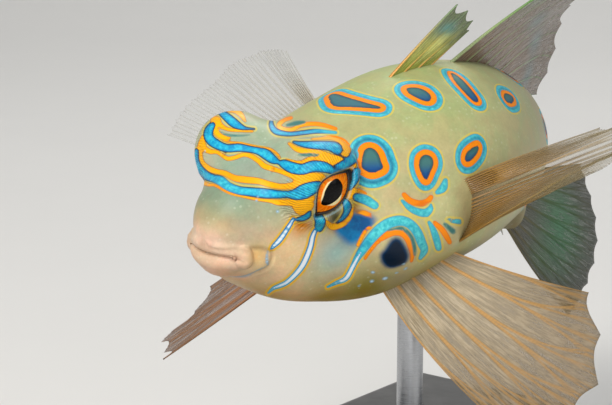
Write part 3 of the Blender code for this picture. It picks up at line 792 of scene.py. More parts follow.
def spline(points, step, closed=False):
    """A smooth curve through points, with places about a step apart in the first two columns' units."""
    points = np.asarray(points, float)
    if closed:
        ring = np.concatenate([points[-1:], points, points[:2]])
    else:
        ring = np.concatenate([2 * points[:1] - points[1:2], points, 2 * points[-1:] - points[-2:-1]])
    out = []
    for a, b, c, d in zip(ring, ring[1:], ring[2:], ring[3:]):
        count = max(2, int(np.ceil(norm((c - b)[:2]) / step)))
        t = (np.arange(count) / count)[:, None]
        bend, twist = 2 * a - 5 * b + 4 * c - d, 3 * b - a - 3 * c + d
        out.append(0.5 * (2 * b + (c - a) * t + bend * t**2 + twist * t**3))
    if not closed:
        out.append(points[-1:])
    return np.concatenate(out)


class Canvas:
    """The skin as something to paint on: where the photograph's places lie on it, and fields over it."""

    def __init__(self, piece, station, girth, closed, opened):
        self.station, self.girth, self.closed, self.opened = station, girth, closed, opened
        piece.data.calc_loop_triangles()
        self.corners = read_all(piece.data.loop_triangles, "vertices", np.int32)
        self.normals = read_all(piece.data.vertices, "normal").astype(float)
        self.surface = BVHTree.FromPolygons(opened.tolist(), self.corners.tolist())
        self.eye, self.right, self.up, self.back = camera_axes()
        self.focal = CAMERA_LENS / CAMERA_SENSOR * PICTURE[0]
        self.look()

    def look(self):
        """Where each vertex lies in the photograph, in mm at the head's scale, and how well it is seen."""
        offset = self.opened - self.eye
        depth = -offset @ self.back
        across = PICTURE[0] / 2 + self.focal * (offset @ self.right) / depth
        down = PICTURE[1] / 2 - self.focal * (offset @ self.up) / depth
        self.flat = np.stack([across, down], -1) / PICTURE_SCALE
        sight = unit(-offset)
        self.shown = smooth_step(*CLEARLY_SEEN, (self.normals * sight).sum(1))
        for index in np.where(self.shown > 0.0)[0]:
            start = Vector(self.opened[index] + self.normals[index] * LOOK_START)
            if self.surface.ray_cast(start, Vector(sight[index]))[0] is not None:
                self.shown[index] = 0.0

    def find(self, view, points):
        """Station in mm and girth angle of places read in an enlarged view of the photograph."""
        left, top, enlargement = VIEWS[view]
        found = []
        for x, y in points:
            across = (left + x / enlargement - PICTURE[0] / 2) / self.focal
            down = (top + y / enlargement - PICTURE[1] / 2) / self.focal
            way = Vector(-self.back + self.right * across - self.up * down).normalized()
            hit, _, face, _ = self.surface.ray_cast(Vector(self.eye), way)
            if hit is None:
                tries = [self.surface.find_nearest(Vector(self.eye) + way * far) for far in MISS_SEARCH]
                hit, _, face, _ = min(tries, key=lambda found_at: found_at[3])
            corners = self.corners[face]
            solid = [Vector(self.opened[k]) for k in corners]
            flat = [Vector((self.station[k] / MM, self.girth[k], 0.0)) for k in corners]
            at = barycentric_transform(hit, *solid, *flat)
            found.append((at.x, at.y))
        return np.array(found)

    def on_skin(self, found, hand=1.0):
        """World places of these on the skin, or of their mirror images."""
        return seat_eyes(SPINE.place(skin_local(found[:, 0] * MM, found[:, 1] * hand)))

    def seen(self, found):
        """True where the photograph shows these places of the skin."""
        ahead = self.on_skin(found - STATION_STEP) - self.on_skin(found + STATION_STEP)
        around = self.on_skin(found + GIRTH_STEP) - self.on_skin(found - GIRTH_STEP)
        sight = unit(self.eye - self.on_skin(found))
        return (unit(np.cross(ahead, around)) * sight).sum(1) > JUST_SEEN

    def spread(self, view, route):
        """Half widths on the skin of a line whose half widths are read in the picture."""
        way = unit(np.gradient(route[:, :2], axis=0))
        side = np.stack([-way[:, 1], way[:, 0]], -1) * route[:, 2:] * PICTURE_SCALE * VIEWS[view][2]
        one, other = [self.on_skin(self.find(view, route[:, :2] + side * hand)) for hand in HANDS]
        wide = np.pad(norm(one - other, axis=1) / 2 / (route[:, 2] * MM), EVENED_PLACES // 2, mode="edge")
        wide = np.convolve(wide, np.ones(EVENED_PLACES) / EVENED_PLACES, mode="valid")
        return route[:, 2] * MM * np.clip(wide, 1.0, WIDEST_SPREAD)

    def strokes(self, routes):
        """World places and half widths of painted lines, with those that the photograph hides."""
        made = []
        for view, route in routes.values():
            route = spline(route, LINE_STEP)
            found, halves = self.find(view, route[:, :2]), self.spread(view, route)
            made.append((self.on_skin(found), halves))
            hidden = ~self.seen(found * MIRRORED)
            if hidden.sum() > 2:
                made.append((self.on_skin(found[hidden], -1.0), halves[hidden]))
        return made

    def stroke_field(self, places, strokes, reach):
        """How deep each place lies inside painted lines, below 0 outside them."""
        field = np.full(len(places), -reach)
        for line, halves in strokes:
            low, high = line.min(0) - reach, line.max(0) + reach
            near = ((places > low) & (places < high)).all(1)
            field[near] = np.maximum(field[near], depth_inside(places[near], line, halves))
        return field

    def painted(self, routes):
        """How deep each vertex lies inside lines, in mm: as the photograph shows them, or on the skin."""
        shown = []
        for view, route in routes.values():
            left, top, enlargement = VIEWS[view]
            route = spline(route, LINE_STEP)
            shown.append((([left, top] + route[:, :2] / enlargement) / PICTURE_SCALE, route[:, 2]))
        flat = self.stroke_field(self.flat, shown, LINE_REACH)
        return blend(self.on_skin_field(self.strokes(routes)), flat, self.shown)

    def on_skin_field(self, strokes):
        return self.stroke_field(self.closed, strokes, LINE_REACH * MM) / MM

    def patch_field(self, outline):
        """How deep each vertex lies inside a closed outline on the skin, in mm, and how low in it."""
        middle = outline.mean(0)
        radius = norm(outline - middle, axis=1).max()
        gap = norm(self.closed - middle, axis=1)
        near = np.where(gap < radius + PATCH_REACH)[0]
        facing = self.normals[near].mean(0)
        out = self.normals[near[np.argmin(gap[near])]]
        near = near[self.normals[near] @ out > SAME_SIDE]
        across = unit(np.cross(facing, [0.0, 0.0, 1.0]))
        plane = np.stack([across, np.cross(out, across)], -1)
        offset = self.closed[near] - middle
        held = enclosed(offset @ plane, (outline - middle) @ plane)
        field, low = np.full(len(self.closed), -PATCH_REACH / MM), np.zeros(len(self.closed))
        field[near] = np.where(held, -1.0, 1.0) * depth_inside(self.closed[near], outline) / MM
        low[near] = np.clip(0.5 - offset[:, 2] / (2.0 * radius), 0.0, 1.0)
        return field, low

    def outlines(self, routes):
        """Closed outlines in the world and their rings, with mirrored ones that the photograph hides."""
        made = []
        for name, (view, places, *rings) in routes.items():
            found = self.find(view, spline(places, OUTLINE_STEP, closed=True))
            made.append((self.on_skin(found), rings))
            if name not in NEAR_SPOTS and not self.seen(found.mean(0, keepdims=True) * MIRRORED)[0]:
                made.append((self.on_skin(found, -1.0), rings))
        return made

    def patches(self, routes):
        """How deep each vertex lies inside closed outlines, in mm."""
        fields = [self.patch_field(outline)[0] for outline, _ in self.outlines(routes)]
        return np.maximum(-LINE_REACH, np.max(fields, axis=0))

    def rear_outlines(self):
        """Spots past what the photograph shows, on both sides."""
        made = []
        turn = np.linspace(0.0, 2 * math.pi, REAR_POINTS, endpoint=False)
        for station, girth, long, wide, tilt in REAR_SPOTS.values():
            lean, here = math.radians(tilt), np.array([[station, girth]])
            along, around = long * np.cos(turn), wide * np.sin(turn)
            behind = along * math.cos(lean) - around * math.sin(lean)
            beside = along * math.sin(lean) + around * math.cos(lean)
            for hand in HANDS:
                two_degrees = self.on_skin(here + GIRTH_STEP, hand) - self.on_skin(here - GIRTH_STEP, hand)
                found = np.stack([station + behind, girth + beside * MM / (norm(two_degrees) / 2)], -1)
                made.append((self.on_skin(found, hand), REAR_RINGS))
        return made


# Folds pressed into the skin: view, half width and depth in mm, how dark their painted shade is, and places
# along each
FOLDS = {
    "jaw_fold": (
        "head", 0.13, 0.16, 0.20,
        ((655, 1115), (662, 1150), (648, 1200), (612, 1240), (540, 1272), (450, 1300), (350, 1300)),
    ),
    "maxilla_top": ("head", 0.16, 0.10, 0.30, ((420, 1108), (500, 1098), (580, 1100), (640, 1120))),
    "upper_lip_fold": ("head", 0.12, 0.10, 0.30, ((150, 1062), (230, 1098), (320, 1108), (400, 1100))),
    "lip_corner": ("head", 0.12, 0.06, 0.18, ((400, 1140), (430, 1165), (440, 1200), (420, 1240))),
}
# How far from a fold's middle its dip can reach
FOLD_REACH = 5.0 * MM


def skin_plan(ball):
    """Station, girth angle and share of the rounded end, for the points of the primitive ball."""
    ring = np.arccos(np.clip(ball[:, 2], -1.0, 1.0)) / math.pi * SKIN_RINGS
    turn = np.degrees(np.arctan2(ball[:, 1], ball[:, 0])) / 360.0 * SKIN_SEGMENTS
    rings, stations = zip(*RING_PLAN)
    points, girths = zip(*GIRTH_PLAN)
    station = np.interp(ring, rings, stations) * MM
    girth = np.sign(turn) * np.interp(np.abs(turn), points, girths)
    end = np.clip((ring - (SKIN_RINGS - END_RINGS)) / END_RINGS, 0.0, 1.0)
    return station, girth, end


def press_details(local, canvas):
    """Presses nostrils, the mouth line and the folds of the jaw into the skin, and gives their shade."""
    places = canvas.opened
    depth, shade = np.zeros(len(places)), np.zeros(len(places))
    station, girth, wide, deep, rim, dark = NOSTRIL
    for hand in HANDS:
        gap = norm(places - canvas.on_skin(np.array([[station, girth]]), hand), axis=1) / MM
        pit = np.exp(-((gap / wide) ** 4))
        depth += deep * pit - rim * bell(gap - NOSTRIL_RIM[0] * wide, NOSTRIL_RIM[1] * wide)
        shade = np.maximum(shade, dark * pit)

    across = np.linspace(-MOUTH_RUN, MOUTH_RUN, MOUTH_PLACES) * MOUTH_HALF_WIDTH
    upper, lower = [lip_line(across, lip) for lip in LIPS.values()]
    above, below = [lip[4] for lip in LIPS.values()]
    slit = upper + (lower - upper) * above / (above + below)
    front = local[:, 0] < MOUTH_REACH
    line = bell(depth_inside(local[front, 1:], slit[:, 1:]) / MM, MOUTH_LINE)
    corner = smooth_step(*MOUTH_CORNER, local[front, 1] / MM)
    depth[front] += line * (MOUTH_DEPTH[0] + MOUTH_DEPTH[1] * corner)
    shade[front] = np.maximum(shade[front], line * (MOUTH_SHADE[0] + MOUTH_SHADE[1] * corner))

    for view, width, deep, dark, route in FOLDS.values():
        found = canvas.find(view, spline(route, LINE_STEP))
        for hand in HANDS:
            fold = canvas.on_skin(found if hand > 0 else found[~canvas.seen(found * MIRRORED)], hand)
            if len(fold):
                near = norm(places - fold.mean(0), axis=1) < FOLD_REACH
                dip = bell(depth_inside(places[near], fold) / MM, width)
                depth[near] = np.maximum(depth[near], deep * dip)
                shade[near] = np.maximum(shade[near], dark * dip)
    return places - canvas.normals * depth[:, None] * MM, shade


def ground_colours(canvas):
    """The skin's colour under its markings."""
    at, table = [row[0] for row in GROUND], np.array([row[1:] for row in GROUND])
    back, side, belly = [
        np.stack([np.interp(canvas.station / MM, at, c) for c in table[:, lane].T], -1) for lane in range(3)
    ]
    turn = np.abs(canvas.girth)
    low = smooth_step(*BELLY_GIRTH, turn)[:, None]
    high = (1.0 - smooth_step(*BACK_GIRTH, turn))[:, None]
    colour = side * (1 - low) * (1 - high) + belly * low + back * high
    for view, place, wide, strength, wash in WASHES.values():
        found = canvas.find(view, [place])
        for hand in HANDS:
            gap = norm(canvas.closed - canvas.on_skin(found, hand), axis=1) / MM
            colour = blend(colour, wash, (strength * bell(gap, wide))[:, None])
    return colour


def markings(canvas):
    """The painted markings: how deep each vertex lies inside each kind, in mm."""
    blank = np.full(len(canvas.closed), -LINE_REACH)
    lines = canvas.painted(ORANGE_BANDS) + ORANGE_SWELL
    white = canvas.painted(WHITE_STREAKS) + ORANGE_SWELL
    blue = np.maximum(canvas.painted(BLUE_BANDS), white + STREAK_EDGE)
    orange, core, target, low = lines, blank, blank, np.zeros(len(blank))
    for outline, (orange_ring, blue_ring) in canvas.outlines(SPOTS) + canvas.rear_outlines():
        field, height = canvas.patch_field(outline)
        core = np.maximum(core, field)
        low = np.where(field > -CORE_REACH, height, low)
        orange = np.maximum(orange, np.minimum(field + orange_ring, -field))
        whole = field + orange_ring + blue_ring
        blue = np.maximum(blue, np.minimum(whole, -(field + orange_ring)))
        target = np.maximum(target, whole)
    dots = []
    for view, places in PALE_DOTS.values():
        places = np.array(places)
        found = canvas.find(view, places[:, :2])
        dots += [(canvas.on_skin(found, hand), places[:, 2] * MM) for hand in HANDS]
    return {
        "blue": blue, "orange": orange, "white": white, "teal": canvas.painted(TEAL_BANDS), "core": core,
        "core_low": low, "navy": canvas.patches(NAVY_PATCHES), "stain": canvas.patches(STAINS),
        "dots": np.maximum(canvas.on_skin_field(dots), canvas.painted(PALE_LINES)), "target": target,
        "ring": np.clip(orange - lines, 0.0, 1.0),
    }


def round_the_eyes(places):
    """The dark paint at the edge of the lids, in mm, and how much each vertex shares the eyes' colours."""
    margin, near_eye = np.full(len(places), -LINE_REACH), np.zeros(len(places))
    for hand in HANDS:
        outside, along = almond_place(places, hand)
        offset, reach, _ = from_eye(places, hand)
        rear = smooth_step(*EYE_REAR, offset[:, 0] / MM)
        near_eye = np.maximum(near_eye, (1.0 - smooth_step(*EYE_FADE, reach / MM)) * (1.0 - rear))
        width = LID_PAINT
        for (gain, start), way in ((LID_PAINT_REAR, along), (LID_PAINT_FRONT, -along)):
            width = width + gain * smooth_step(start, 1.0, way)
        close = (offset[:, 2] > 0) & (reach / MM < LID_PAINT_REACH)
        margin = np.where(close, np.maximum(margin, width - outside / MM), margin)
    return {"margin": margin, "near_eye": near_eye}


def make_skin(material):
    """One skin from mouth to tail, in the place of the head, the trunk and the tail."""
    skin = add_primitive(
        "fish_skin", bpy.ops.mesh.primitive_uv_sphere_add, segments=SKIN_SEGMENTS,
        ring_count=SKIN_RINGS, radius=1.0,
    )
    station, girth, end = skin_plan(vertex_places(skin))
    local = skin_local(station, girth)
    local[:, 1:] *= np.cos(end * math.pi / 2)[:, None]
    local[:, 0] += END_DEPTH * np.sin(end * math.pi / 2)
    closed = seat_eyes(SPINE.place(local))
    opened = open_lids(closed)
    move_vertices(skin, opened)
    face_outwards(skin)
    canvas = Canvas(skin, station, girth, closed, opened)
    pressed, crease_shade = press_details(local, canvas)
    move_vertices(skin, pressed)
    write_layers(skin, {**markings(canvas), **round_the_eyes(opened)})
    write_layers(skin, {"crease_shade": crease_shade, "ground": ground_colours(canvas)})
    skin.data.shade_smooth()
    finish_piece(skin, material, "skin", "head", "trunk", "tail")


# Eyes: outline of the pupil on the eyeball, in mm along the head and across it, the mesh, and how far apart
# the outline is worked out
PUPIL = (
    (-0.98, -0.34), (-0.86, 0.22), (-0.68, 0.68), (-0.26, 1.08), (0.34, 1.16), (0.70, 0.60),
    (0.54, 0.02), (0.02, -0.36), (-0.58, -0.55),
)
EYE_SEGMENTS = 144
EYE_RINGS = 96
PUPIL_STEP = 0.02
# How far the pupil's pale rim reaches past it in mm: all round, then what it gains in front and below. The
# front's turn round the pupil in degrees and how it fades, then the lower side's turn and how narrow it is.
# Behind the eyeball the pupil's field has one value
RIM_WIDTHS = (-0.03, 0.15, 0.42)
RIM_FRONT = (148.0, 0.25, 0.85)
RIM_LOWER = (-64.0, 5)
PUPIL_BEHIND = -2.0


def make_eye(side, hand, material):
    """A finer eyeball: its dark pupil, pale pupil rim and orange iris are fields over it."""
    centre, axes = eye_frame(hand)
    eye = add_primitive(
        "fine_eye_" + side, bpy.ops.mesh.primitive_uv_sphere_add, segments=EYE_SEGMENTS,
        ring_count=EYE_RINGS, radius=1.0,
    )
    ball = vertex_places(eye)
    move_vertices(eye, centre + EYE_RADIUS * ball @ axes)
    face_outwards(eye)
    flat = ball[:, :2] * [1.0, hand] * EYE_RADIUS / MM
    loop = spline(PUPIL, PUPIL_STEP, closed=True)
    pupil = np.where(enclosed(flat, loop), -1.0, 1.0) * depth_inside(flat, loop)
    across, around = (flat - np.mean(PUPIL, axis=0)).T
    turn = np.arctan2(around, across)
    front = smooth_step(*RIM_FRONT[1:], np.cos(turn - math.radians(RIM_FRONT[0])))
    lower = np.clip(np.cos(turn - math.radians(RIM_LOWER[0])), 0.0, 1.0) ** RIM_LOWER[1]
    write_layers(eye, {
        "pupil": np.where(ball[:, 2] > 0, pupil, PUPIL_BEHIND),
        "pupil_rim": RIM_WIDTHS[0] + RIM_WIDTHS[1] * front + RIM_WIDTHS[2] * lower,
        "lid_gap": -almond_place(vertex_places(eye), hand)[0] / MM,
        "iris_turn": turn,
    })
    eye.data.shade_smooth()
    finish_piece(eye, material, "eyeball", "eye_" + side)


def opening_edge(turn, hand):
    """The way from the eyeball's centre to the edge of the opening, at turns round the gaze."""
    lean = turn - math.radians(ALMOND_TURN) * hand
    angles = []
    for side, middle, fall in almond_edges():
        bend = fall * np.cos(lean) ** 2 / ALMOND_LONG**2
        rise = side * hand * np.sin(lean) - 2.0 * fall * np.cos(lean) * ALMOND_SHIFT / ALMOND_LONG**2
        high = middle - fall * (ALMOND_SHIFT / ALMOND_LONG) ** 2
        angles.append(2.0 * high / np.maximum(rise + np.sqrt(rise**2 + 4.0 * bend * high), 1e-6))
    angle = np.radians(np.minimum(*angles))
    flat = np.stack([np.cos(turn) * np.sin(angle), np.sin(turn) * np.sin(angle), np.cos(angle)], -1)
    return flat @ eye_frame(hand)[1]


def make_lid_margin(side, hand, material):
    """A thin dark roll along the edge of the lids."""
    centre, axes = eye_frame(hand)
    roll = add_primitive(
        "lid_margin_" + side, bpy.ops.mesh.primitive_torus_add, major_segments=MARGIN_SEGMENTS,
        minor_segments=MARGIN_SIDES, major_radius=1.0, minor_radius=0.25,
    )
    x, y, z = vertex_places(roll).T
    turn, tube = np.arctan2(y, x), np.arctan2(z, np.hypot(x, y) - 1.0)
    way = opening_edge(turn, hand)
    ahead = opening_edge(turn + MARGIN_STEP, hand) - opening_edge(turn - MARGIN_STEP, hand)
    out = np.cross(way, ahead)
    out = unit(out * np.sign((out * (way - axes[2])).sum(1))[:, None])
    places = centre + way * (LID_EDGE + MARGIN_LIFT)
    places = places + MARGIN_RADIUS * (out * np.cos(tube)[:, None] + way * np.sin(tube)[:, None])
    move_vertices(roll, places)
    face_outwards(roll)
    write_layers(roll, {"outer_side": np.cos(tube)})
    roll.data.shade_smooth()
    finish_piece(roll, material, "skin")


# Fins, as in the model's source: share of the root, station in mm, girth angle, ray length in mm, then
# the ray's direction as fore, out and up
FIN_GUIDES = {
    "fin_dorsal_first": (
        (0.0, 16.8, 0, 7.5, -0.72, 0.05, 0.69),
        (0.5, 18.6, 0, 6.5, -0.80, 0.02, 0.60),
        (1.0, 20.4, 0, 4.5, -0.84, 0.00, 0.54),
    ),
    "fin_dorsal_second": (
        (0.0, 22.6, 0, 13.0, -0.64, 0.34, 0.68),
        (0.5, 31.0, 0, 12.0, -0.80, 0.22, 0.55),
        (1.0, 39.5, 0, 10.0, -0.92, 0.12, 0.38),
    ),
    "fin_anal": (
        (0.0, 31.0, 180, 5.0, -0.85, 0.0, -0.53),
        (0.5, 36.0, 180, 6.5, -0.90, 0.0, -0.44),
        (1.0, 42.5, 180, 7.0, -0.95, 0.0, -0.30),
    ),
    "fin_caudal": (
        (0.0, 52.0, 0, 11.5, -0.80, 0.36, 0.46),
        (0.5, 52.0, 90, 14.0, -0.92, 0.40, 0.0),
        (1.0, 52.0, 180, 11.5, -0.80, 0.36, -0.46),
    ),
    "fin_pectoral_left": (
        (0.0, 17.9, 80, 10.5, -0.85, 0.40, 0.38),
        (0.5, 18.5, 95, 13.0, -0.55, 0.70, 0.54),
        (1.0, 17.9, 110, 11.5, 0.05, 0.82, 0.66),
    ),
    "fin_pectoral_right": (
        (0.0, 17.9, 82, 7.5, 0.05, 0.84, 0.54),
        (0.5, 18.5, 96, 12.0, 0.25, 0.90, 0.33),
        (1.0, 17.9, 110, 14.5, 0.50, 0.84, 0.04),
    ),
    "fin_pelvic_left": (
        (0.0, 13.5, 147, 11.5, -0.20, 0.62, -0.72),
        (0.5, 16.0, 134, 15.0, -0.38, 0.70, -0.58),
        (1.0, 18.3, 122, 10.0, -0.66, 0.70, -0.26),
    ),
    "fin_pelvic_right": (
        (0.0, 13.5, 147, 16.5, 0.62, 0.55, -0.70),
        (0.5, 16.0, 134, 17.5, 0.54, 0.58, -0.76),
        (1.0, 18.3, 122, 14.0, 0.40, 0.64, -0.78),
    ),
}
# How the rays of each fin curl towards their tips: fore, out and up
FIN_CURL = {
    "fin_dorsal_first": (-0.20, 0.0, 0.0),
    "fin_dorsal_second": (-0.20, 0.15, -0.10),
    "fin_anal": (-0.20, 0.0, 0.10),
    "fin_caudal": (0.0, 0.25, 0.0),
    "fin_pectoral_left": (-0.30, 0.0, 0.05),
    "fin_pectoral_right": (-0.20, 0.0, 0.05),
    "fin_pelvic_left": (-0.25, 0.15, 0.10),
    "fin_pelvic_right": (-0.15, 0.10, 0.05),
}
# Half the height of the tail fin's root
CAUDAL_ROOT_HEIGHT = 2.6 * MM
# How each fin is made: rays, grid columns between two rays, where its rays fork, half widths of a ray at
# the root and the tip in mm, height and number of the ripples, depth of the notches between tips
FIN_BUILD = {
    "fin_dorsal_first": (4, 14, (), 0.13, 0.06, 0.12, 1.0, 0.10),
    "fin_dorsal_second": (9, 12, (0.62,), 0.13, 0.05, 0.25, 2.0, 0.07),
    "fin_anal": (8, 10, (0.60,), 0.12, 0.05, 0.20, 2.0, 0.07),
    "fin_caudal": (10, 16, (0.30, 0.62), 0.12, 0.04, 0.25, 1.5, 0.03),
    "fin_pectoral_left": (25, 10, (0.55,), 0.050, 0.040, 0.30, 2.5, 0.02),
    "fin_pectoral_right": (25, 10, (0.55,), 0.050, 0.040, 0.30, 2.5, 0.02),
    "fin_pelvic_left": (6, 30, (0.22, 0.45, 0.70), 0.12, 0.045, 0.30, 1.5, 0.05),
    "fin_pelvic_right": (6, 30, (0.22, 0.45, 0.70), 0.12, 0.045, 0.30, 1.5, 0.05),
}
# How much thicker the first ray of a fin is, and over which share of the fin's width that ends
STOUT_FIRST_RAY = {"fin_dorsal_first": 0.5, "fin_dorsal_second": 1.4}
STOUT_FADE = (0.06, 0.03)
# Rows of the grid, how deep the root is sunk, and thickness of the web and of a ray in mm
FIN_ROWS = 48
FIN_SUNK = 0.5 * MM
WEB_THICKNESS = 0.05
RAY_THICKNESS = 0.24
# How far a fork's branches spread, in gaps between rays, and where along the ray they would end. From
# which share of the length on the web is notched, and how much thinner a ray is at its tip. Then the
# ripples' start and how they grow along a ray, and how deep the web sags between rays, in mm, and how fast
FORK_SPREAD = 0.42
FORK_END = 1.25
NOTCH_START = 0.55
RAY_TAPER = 0.7
RIPPLE_START = 0.7
RIPPLE_GROWTH = 1.5
WEB_SAG = 0.10
SAG_PACE = 1.1
# Between which shares of a fin's length its colours change, how much of a patch's colour a ray takes, and
# how much a patch covers what the web leaves clear
FIN_FADE = (0.05, 0.95)
RAY_SHARE = 0.7
PATCH_COVER = 0.3
# Colours of each fin: rays near the root and the tip, web near the root and the tip, how much the web
# covers there, and how much the rays cover
FIN_PAINT = {
    "fin_dorsal_first": (
        paint(228, 160, 70), paint(130, 156, 110), paint(172, 178, 30), paint(92, 114, 36),
        0.97, 0.85, 1.0, 0.9,
    ),
    "fin_dorsal_second": (
        paint(158, 172, 120), paint(84, 140, 50), paint(124, 84, 34), paint(98, 68, 24),
        0.90, 0.76, 1.0, 0.90,
    ),
    "fin_anal": (
        paint(186, 164, 110), paint(150, 140, 90), paint(160, 146, 104), paint(110, 120, 100),
        0.55, 0.40, 1.0, 0.8,
    ),
    "fin_caudal": (
        paint(104, 92, 48), paint(72, 66, 34), paint(72, 64, 30), paint(48, 46, 24),
        0.92, 0.82, 1.0, 0.90,
    ),
    "fin_pectoral_left": (
        paint(170, 124, 42), paint(150, 128, 78), paint(144, 110, 46), paint(140, 130, 92),
        0.42, 0.16, 0.95, 0.60,
    ),
    "fin_pectoral_right": (
        paint(182, 168, 136), paint(178, 176, 160), paint(176, 168, 142), paint(176, 178, 168),
        0.18, 0.07, 0.60, 0.30,
    ),
    "fin_pelvic_left": (
        paint(200, 152, 86), paint(164, 126, 70), paint(176, 156, 118), paint(128, 104, 60),
        0.92, 0.78, 1.0, 0.85,
    ),
    "fin_pelvic_right": (
        paint(176, 116, 66), paint(140, 100, 66), paint(156, 114, 86), paint(120, 92, 72),
        0.85, 0.62, 1.0, 0.85,
    ),
}
# Coloured patches on fins: share across, share along, half sizes, strength, colour
FIN_PATCHES = {
    "fin_dorsal_first": (
        (0.45, 0.42, 0.40, 0.22, 0.9, paint(236, 232, 110)),
        (0.30, 0.70, 0.22, 0.12, 0.8, paint(30, 150, 150)),
        (0.75, 0.55, 0.22, 0.12, 0.8, paint(130, 140, 20)),
    ),
    "fin_dorsal_second": (
        (0.02, 0.85, 0.10, 0.30, 0.9, paint(40, 130, 50)),
        (0.35, 0.55, 0.10, 0.10, 0.6, paint(40, 120, 130)),
        (0.62, 0.60, 0.10, 0.10, 0.6, paint(40, 120, 130)),
        (0.85, 0.55, 0.09, 0.10, 0.6, paint(40, 120, 130)),
    ),
    "fin_caudal": (
        (0.50, 0.60, 0.30, 0.24, 0.95, paint(14, 116, 58)),
        (0.20, 0.45, 0.12, 0.12, 0.6, paint(60, 110, 50)),
        (0.80, 0.45, 0.12, 0.12, 0.6, paint(60, 110, 50)),
    ),
    "fin_anal": (
        (0.25, 0.50, 0.12, 0.20, 0.7, paint(50, 140, 160)),
        (0.60, 0.55, 0.12, 0.20, 0.7, paint(50, 140, 160)),
        (0.90, 0.50, 0.10, 0.20, 0.7, paint(50, 140, 160)),
    ),
}


def fin_surface(name, shares, steps):
    """Places over a fin's middle surface, as rows from the root to the tips."""
    hand = -1.0 if name.endswith("right") else 1.0
    station, girth, length, fore, out, rise = between_rows(FIN_GUIDES[name], shares).T
    station, girth = station * MM, girth * hand
    forward, left, up = SPINE.axes(station)
    start = seat_eyes(SPINE.place(skin_local(station, girth)))
    if name == "fin_caudal":
        height = np.cos(np.radians(girth)) * CAUDAL_ROOT_HEIGHT
        start = SPINE.place(np.stack([station, 0 * station, height], -1))
    curl = FIN_CURL[name]
    rows = [start]
    for before, after in zip(steps, steps[1:]):
        middle = (before + after) / 2
        way = unit(
            forward * (fore + curl[0] * middle)[:, None]
            + left * (out + curl[1] * middle)[:, None] * hand
            + up * (rise + curl[2] * middle)[:, None]
        )
        rows.append(rows[-1] + way * (length * MM * (after - before))[:, None])
    return np.array(rows), unit(rows[1] - rows[0]), length


def ray_gaps(shares, steps, rays, forks):
    """How far each place lies from the nearest ray or branch, in shares of the fin's width."""
    gap = np.ones((len(steps), len(shares)))
    for ray, signs in product(range(rays), product(HANDS, repeat=len(forks))):
        at = np.full(len(steps), float(ray))
        for level, (sign, fork) in enumerate(zip(signs, forks)):
            at += sign * smooth_step(fork, FORK_END, steps) * FORK_SPREAD / 2**level
        at = np.clip(at / (rays - 1), 0.0, 1.0)
        gap = np.minimum(gap, np.abs(shares - at[:, None]))
    return gap


def fin_colours(name, share, step):
    """A fin's colours and how much its rays and its web cover, for places across and along it."""
    ray_root, ray_tip, web_root, web_tip, *covers = FIN_PAINT[name]
    far = smooth_step(*FIN_FADE, step)[:, None]
    ray, web = blend(ray_root, ray_tip, far), blend(web_root, web_tip, far)
    web_cover, ray_cover = blend(*covers[:2], far[:, 0]), blend(*covers[2:], far[:, 0])
    for at_share, at_step, half_share, half_step, strength, colour in FIN_PATCHES.get(name, ()):
        part = strength * bell(share - at_share, half_share) * bell(step - at_step, half_step)
        web = blend(web, colour, part[:, None])
        ray = blend(ray, colour, RAY_SHARE * part[:, None])
        web_cover = blend(web_cover, 1.0, PATCH_COVER * part)
    return {"ray_colour": ray, "web_colour": web, "cover": web_cover, "ray_cover": ray_cover}


def make_fin(name, material):
    """A fin of rays in a thin web: the web's grid thickens along each ray."""
    rays, columns, forks, root_half, tip_half, ripple, waves, notch = FIN_BUILD[name]
    across = (rays - 1) * columns
    fin = add_primitive(
        "fine_" + name, bpy.ops.mesh.primitive_grid_add, x_subdivisions=across,
        y_subdivisions=FIN_ROWS, size=2.0,
    )
    x, y, _ = (vertex_places(fin).T + 1.0) / 2.0
    column, row = np.rint(x * across).astype(int), np.rint(y * FIN_ROWS).astype(int)
    shares, steps = np.linspace(0.0, 1.0, across + 1), np.linspace(0.0, 1.0, FIN_ROWS + 1)
    surface, first, length = fin_surface(name, shares, steps)

    panel = np.abs(np.sin(math.pi * shares * (rays - 1)))
    trim = 1.0 - notch * panel * smooth_step(NOTCH_START, 1.0, steps)[:, None]
    surface = surface[0] + (surface - surface[0]) * trim[:, :, None]
    along, over = np.gradient(surface, axis=0), np.gradient(surface, shares, axis=1)
    wave = ripple * np.sin(2 * math.pi * waves * shares + RIPPLE_START) * (steps**RIPPLE_GROWTH)[:, None]
    sag = WEB_SAG * panel * np.sin(math.pi * np.clip(steps * SAG_PACE, 0.0, 1.0))[:, None]
    surface = surface + unit(np.cross(along, over)) * ((wave - sag) * MM)[:, :, None]
    surface[0] -= first * FIN_SUNK
    move_vertices(fin, surface[row, column])

    gap = ray_gaps(shares, steps, rays, forks) * norm(over, axis=2) / MM
    stout = 1.0 + STOUT_FIRST_RAY.get(name, 0.0) * smooth_step(*STOUT_FADE, shares)
    half = blend(root_half, tip_half, steps)[:, None] * stout
    ridge = np.sqrt(np.clip(1.0 - (gap / half) ** 2, 0.0, 1.0)) * (1.0 - RAY_TAPER * steps)[:, None]
    write_layers(fin, fin_colours(name, shares[column], steps[row]))
    write_layers(fin, {
        "ray": (half - gap)[row, column],
        "along": (steps[:, None] * length)[row, column],
        "lane": shares[column] * (rays - 1),
    })
    group = fin.vertex_groups.new(name="thickness")
    for index, weight in enumerate(blend(WEB_THICKNESS / RAY_THICKNESS, 1.0, ridge)[row, column]):
        group.add((index,), float(weight), "REPLACE")
    work(fin, "thickness", "SOLIDIFY", thickness=RAY_THICKNESS * MM, offset=0.0, vertex_group="thickness")
    face_outwards(fin)
    fin.data.shade_smooth()
    finish_piece(fin, material, "fin_web", name)


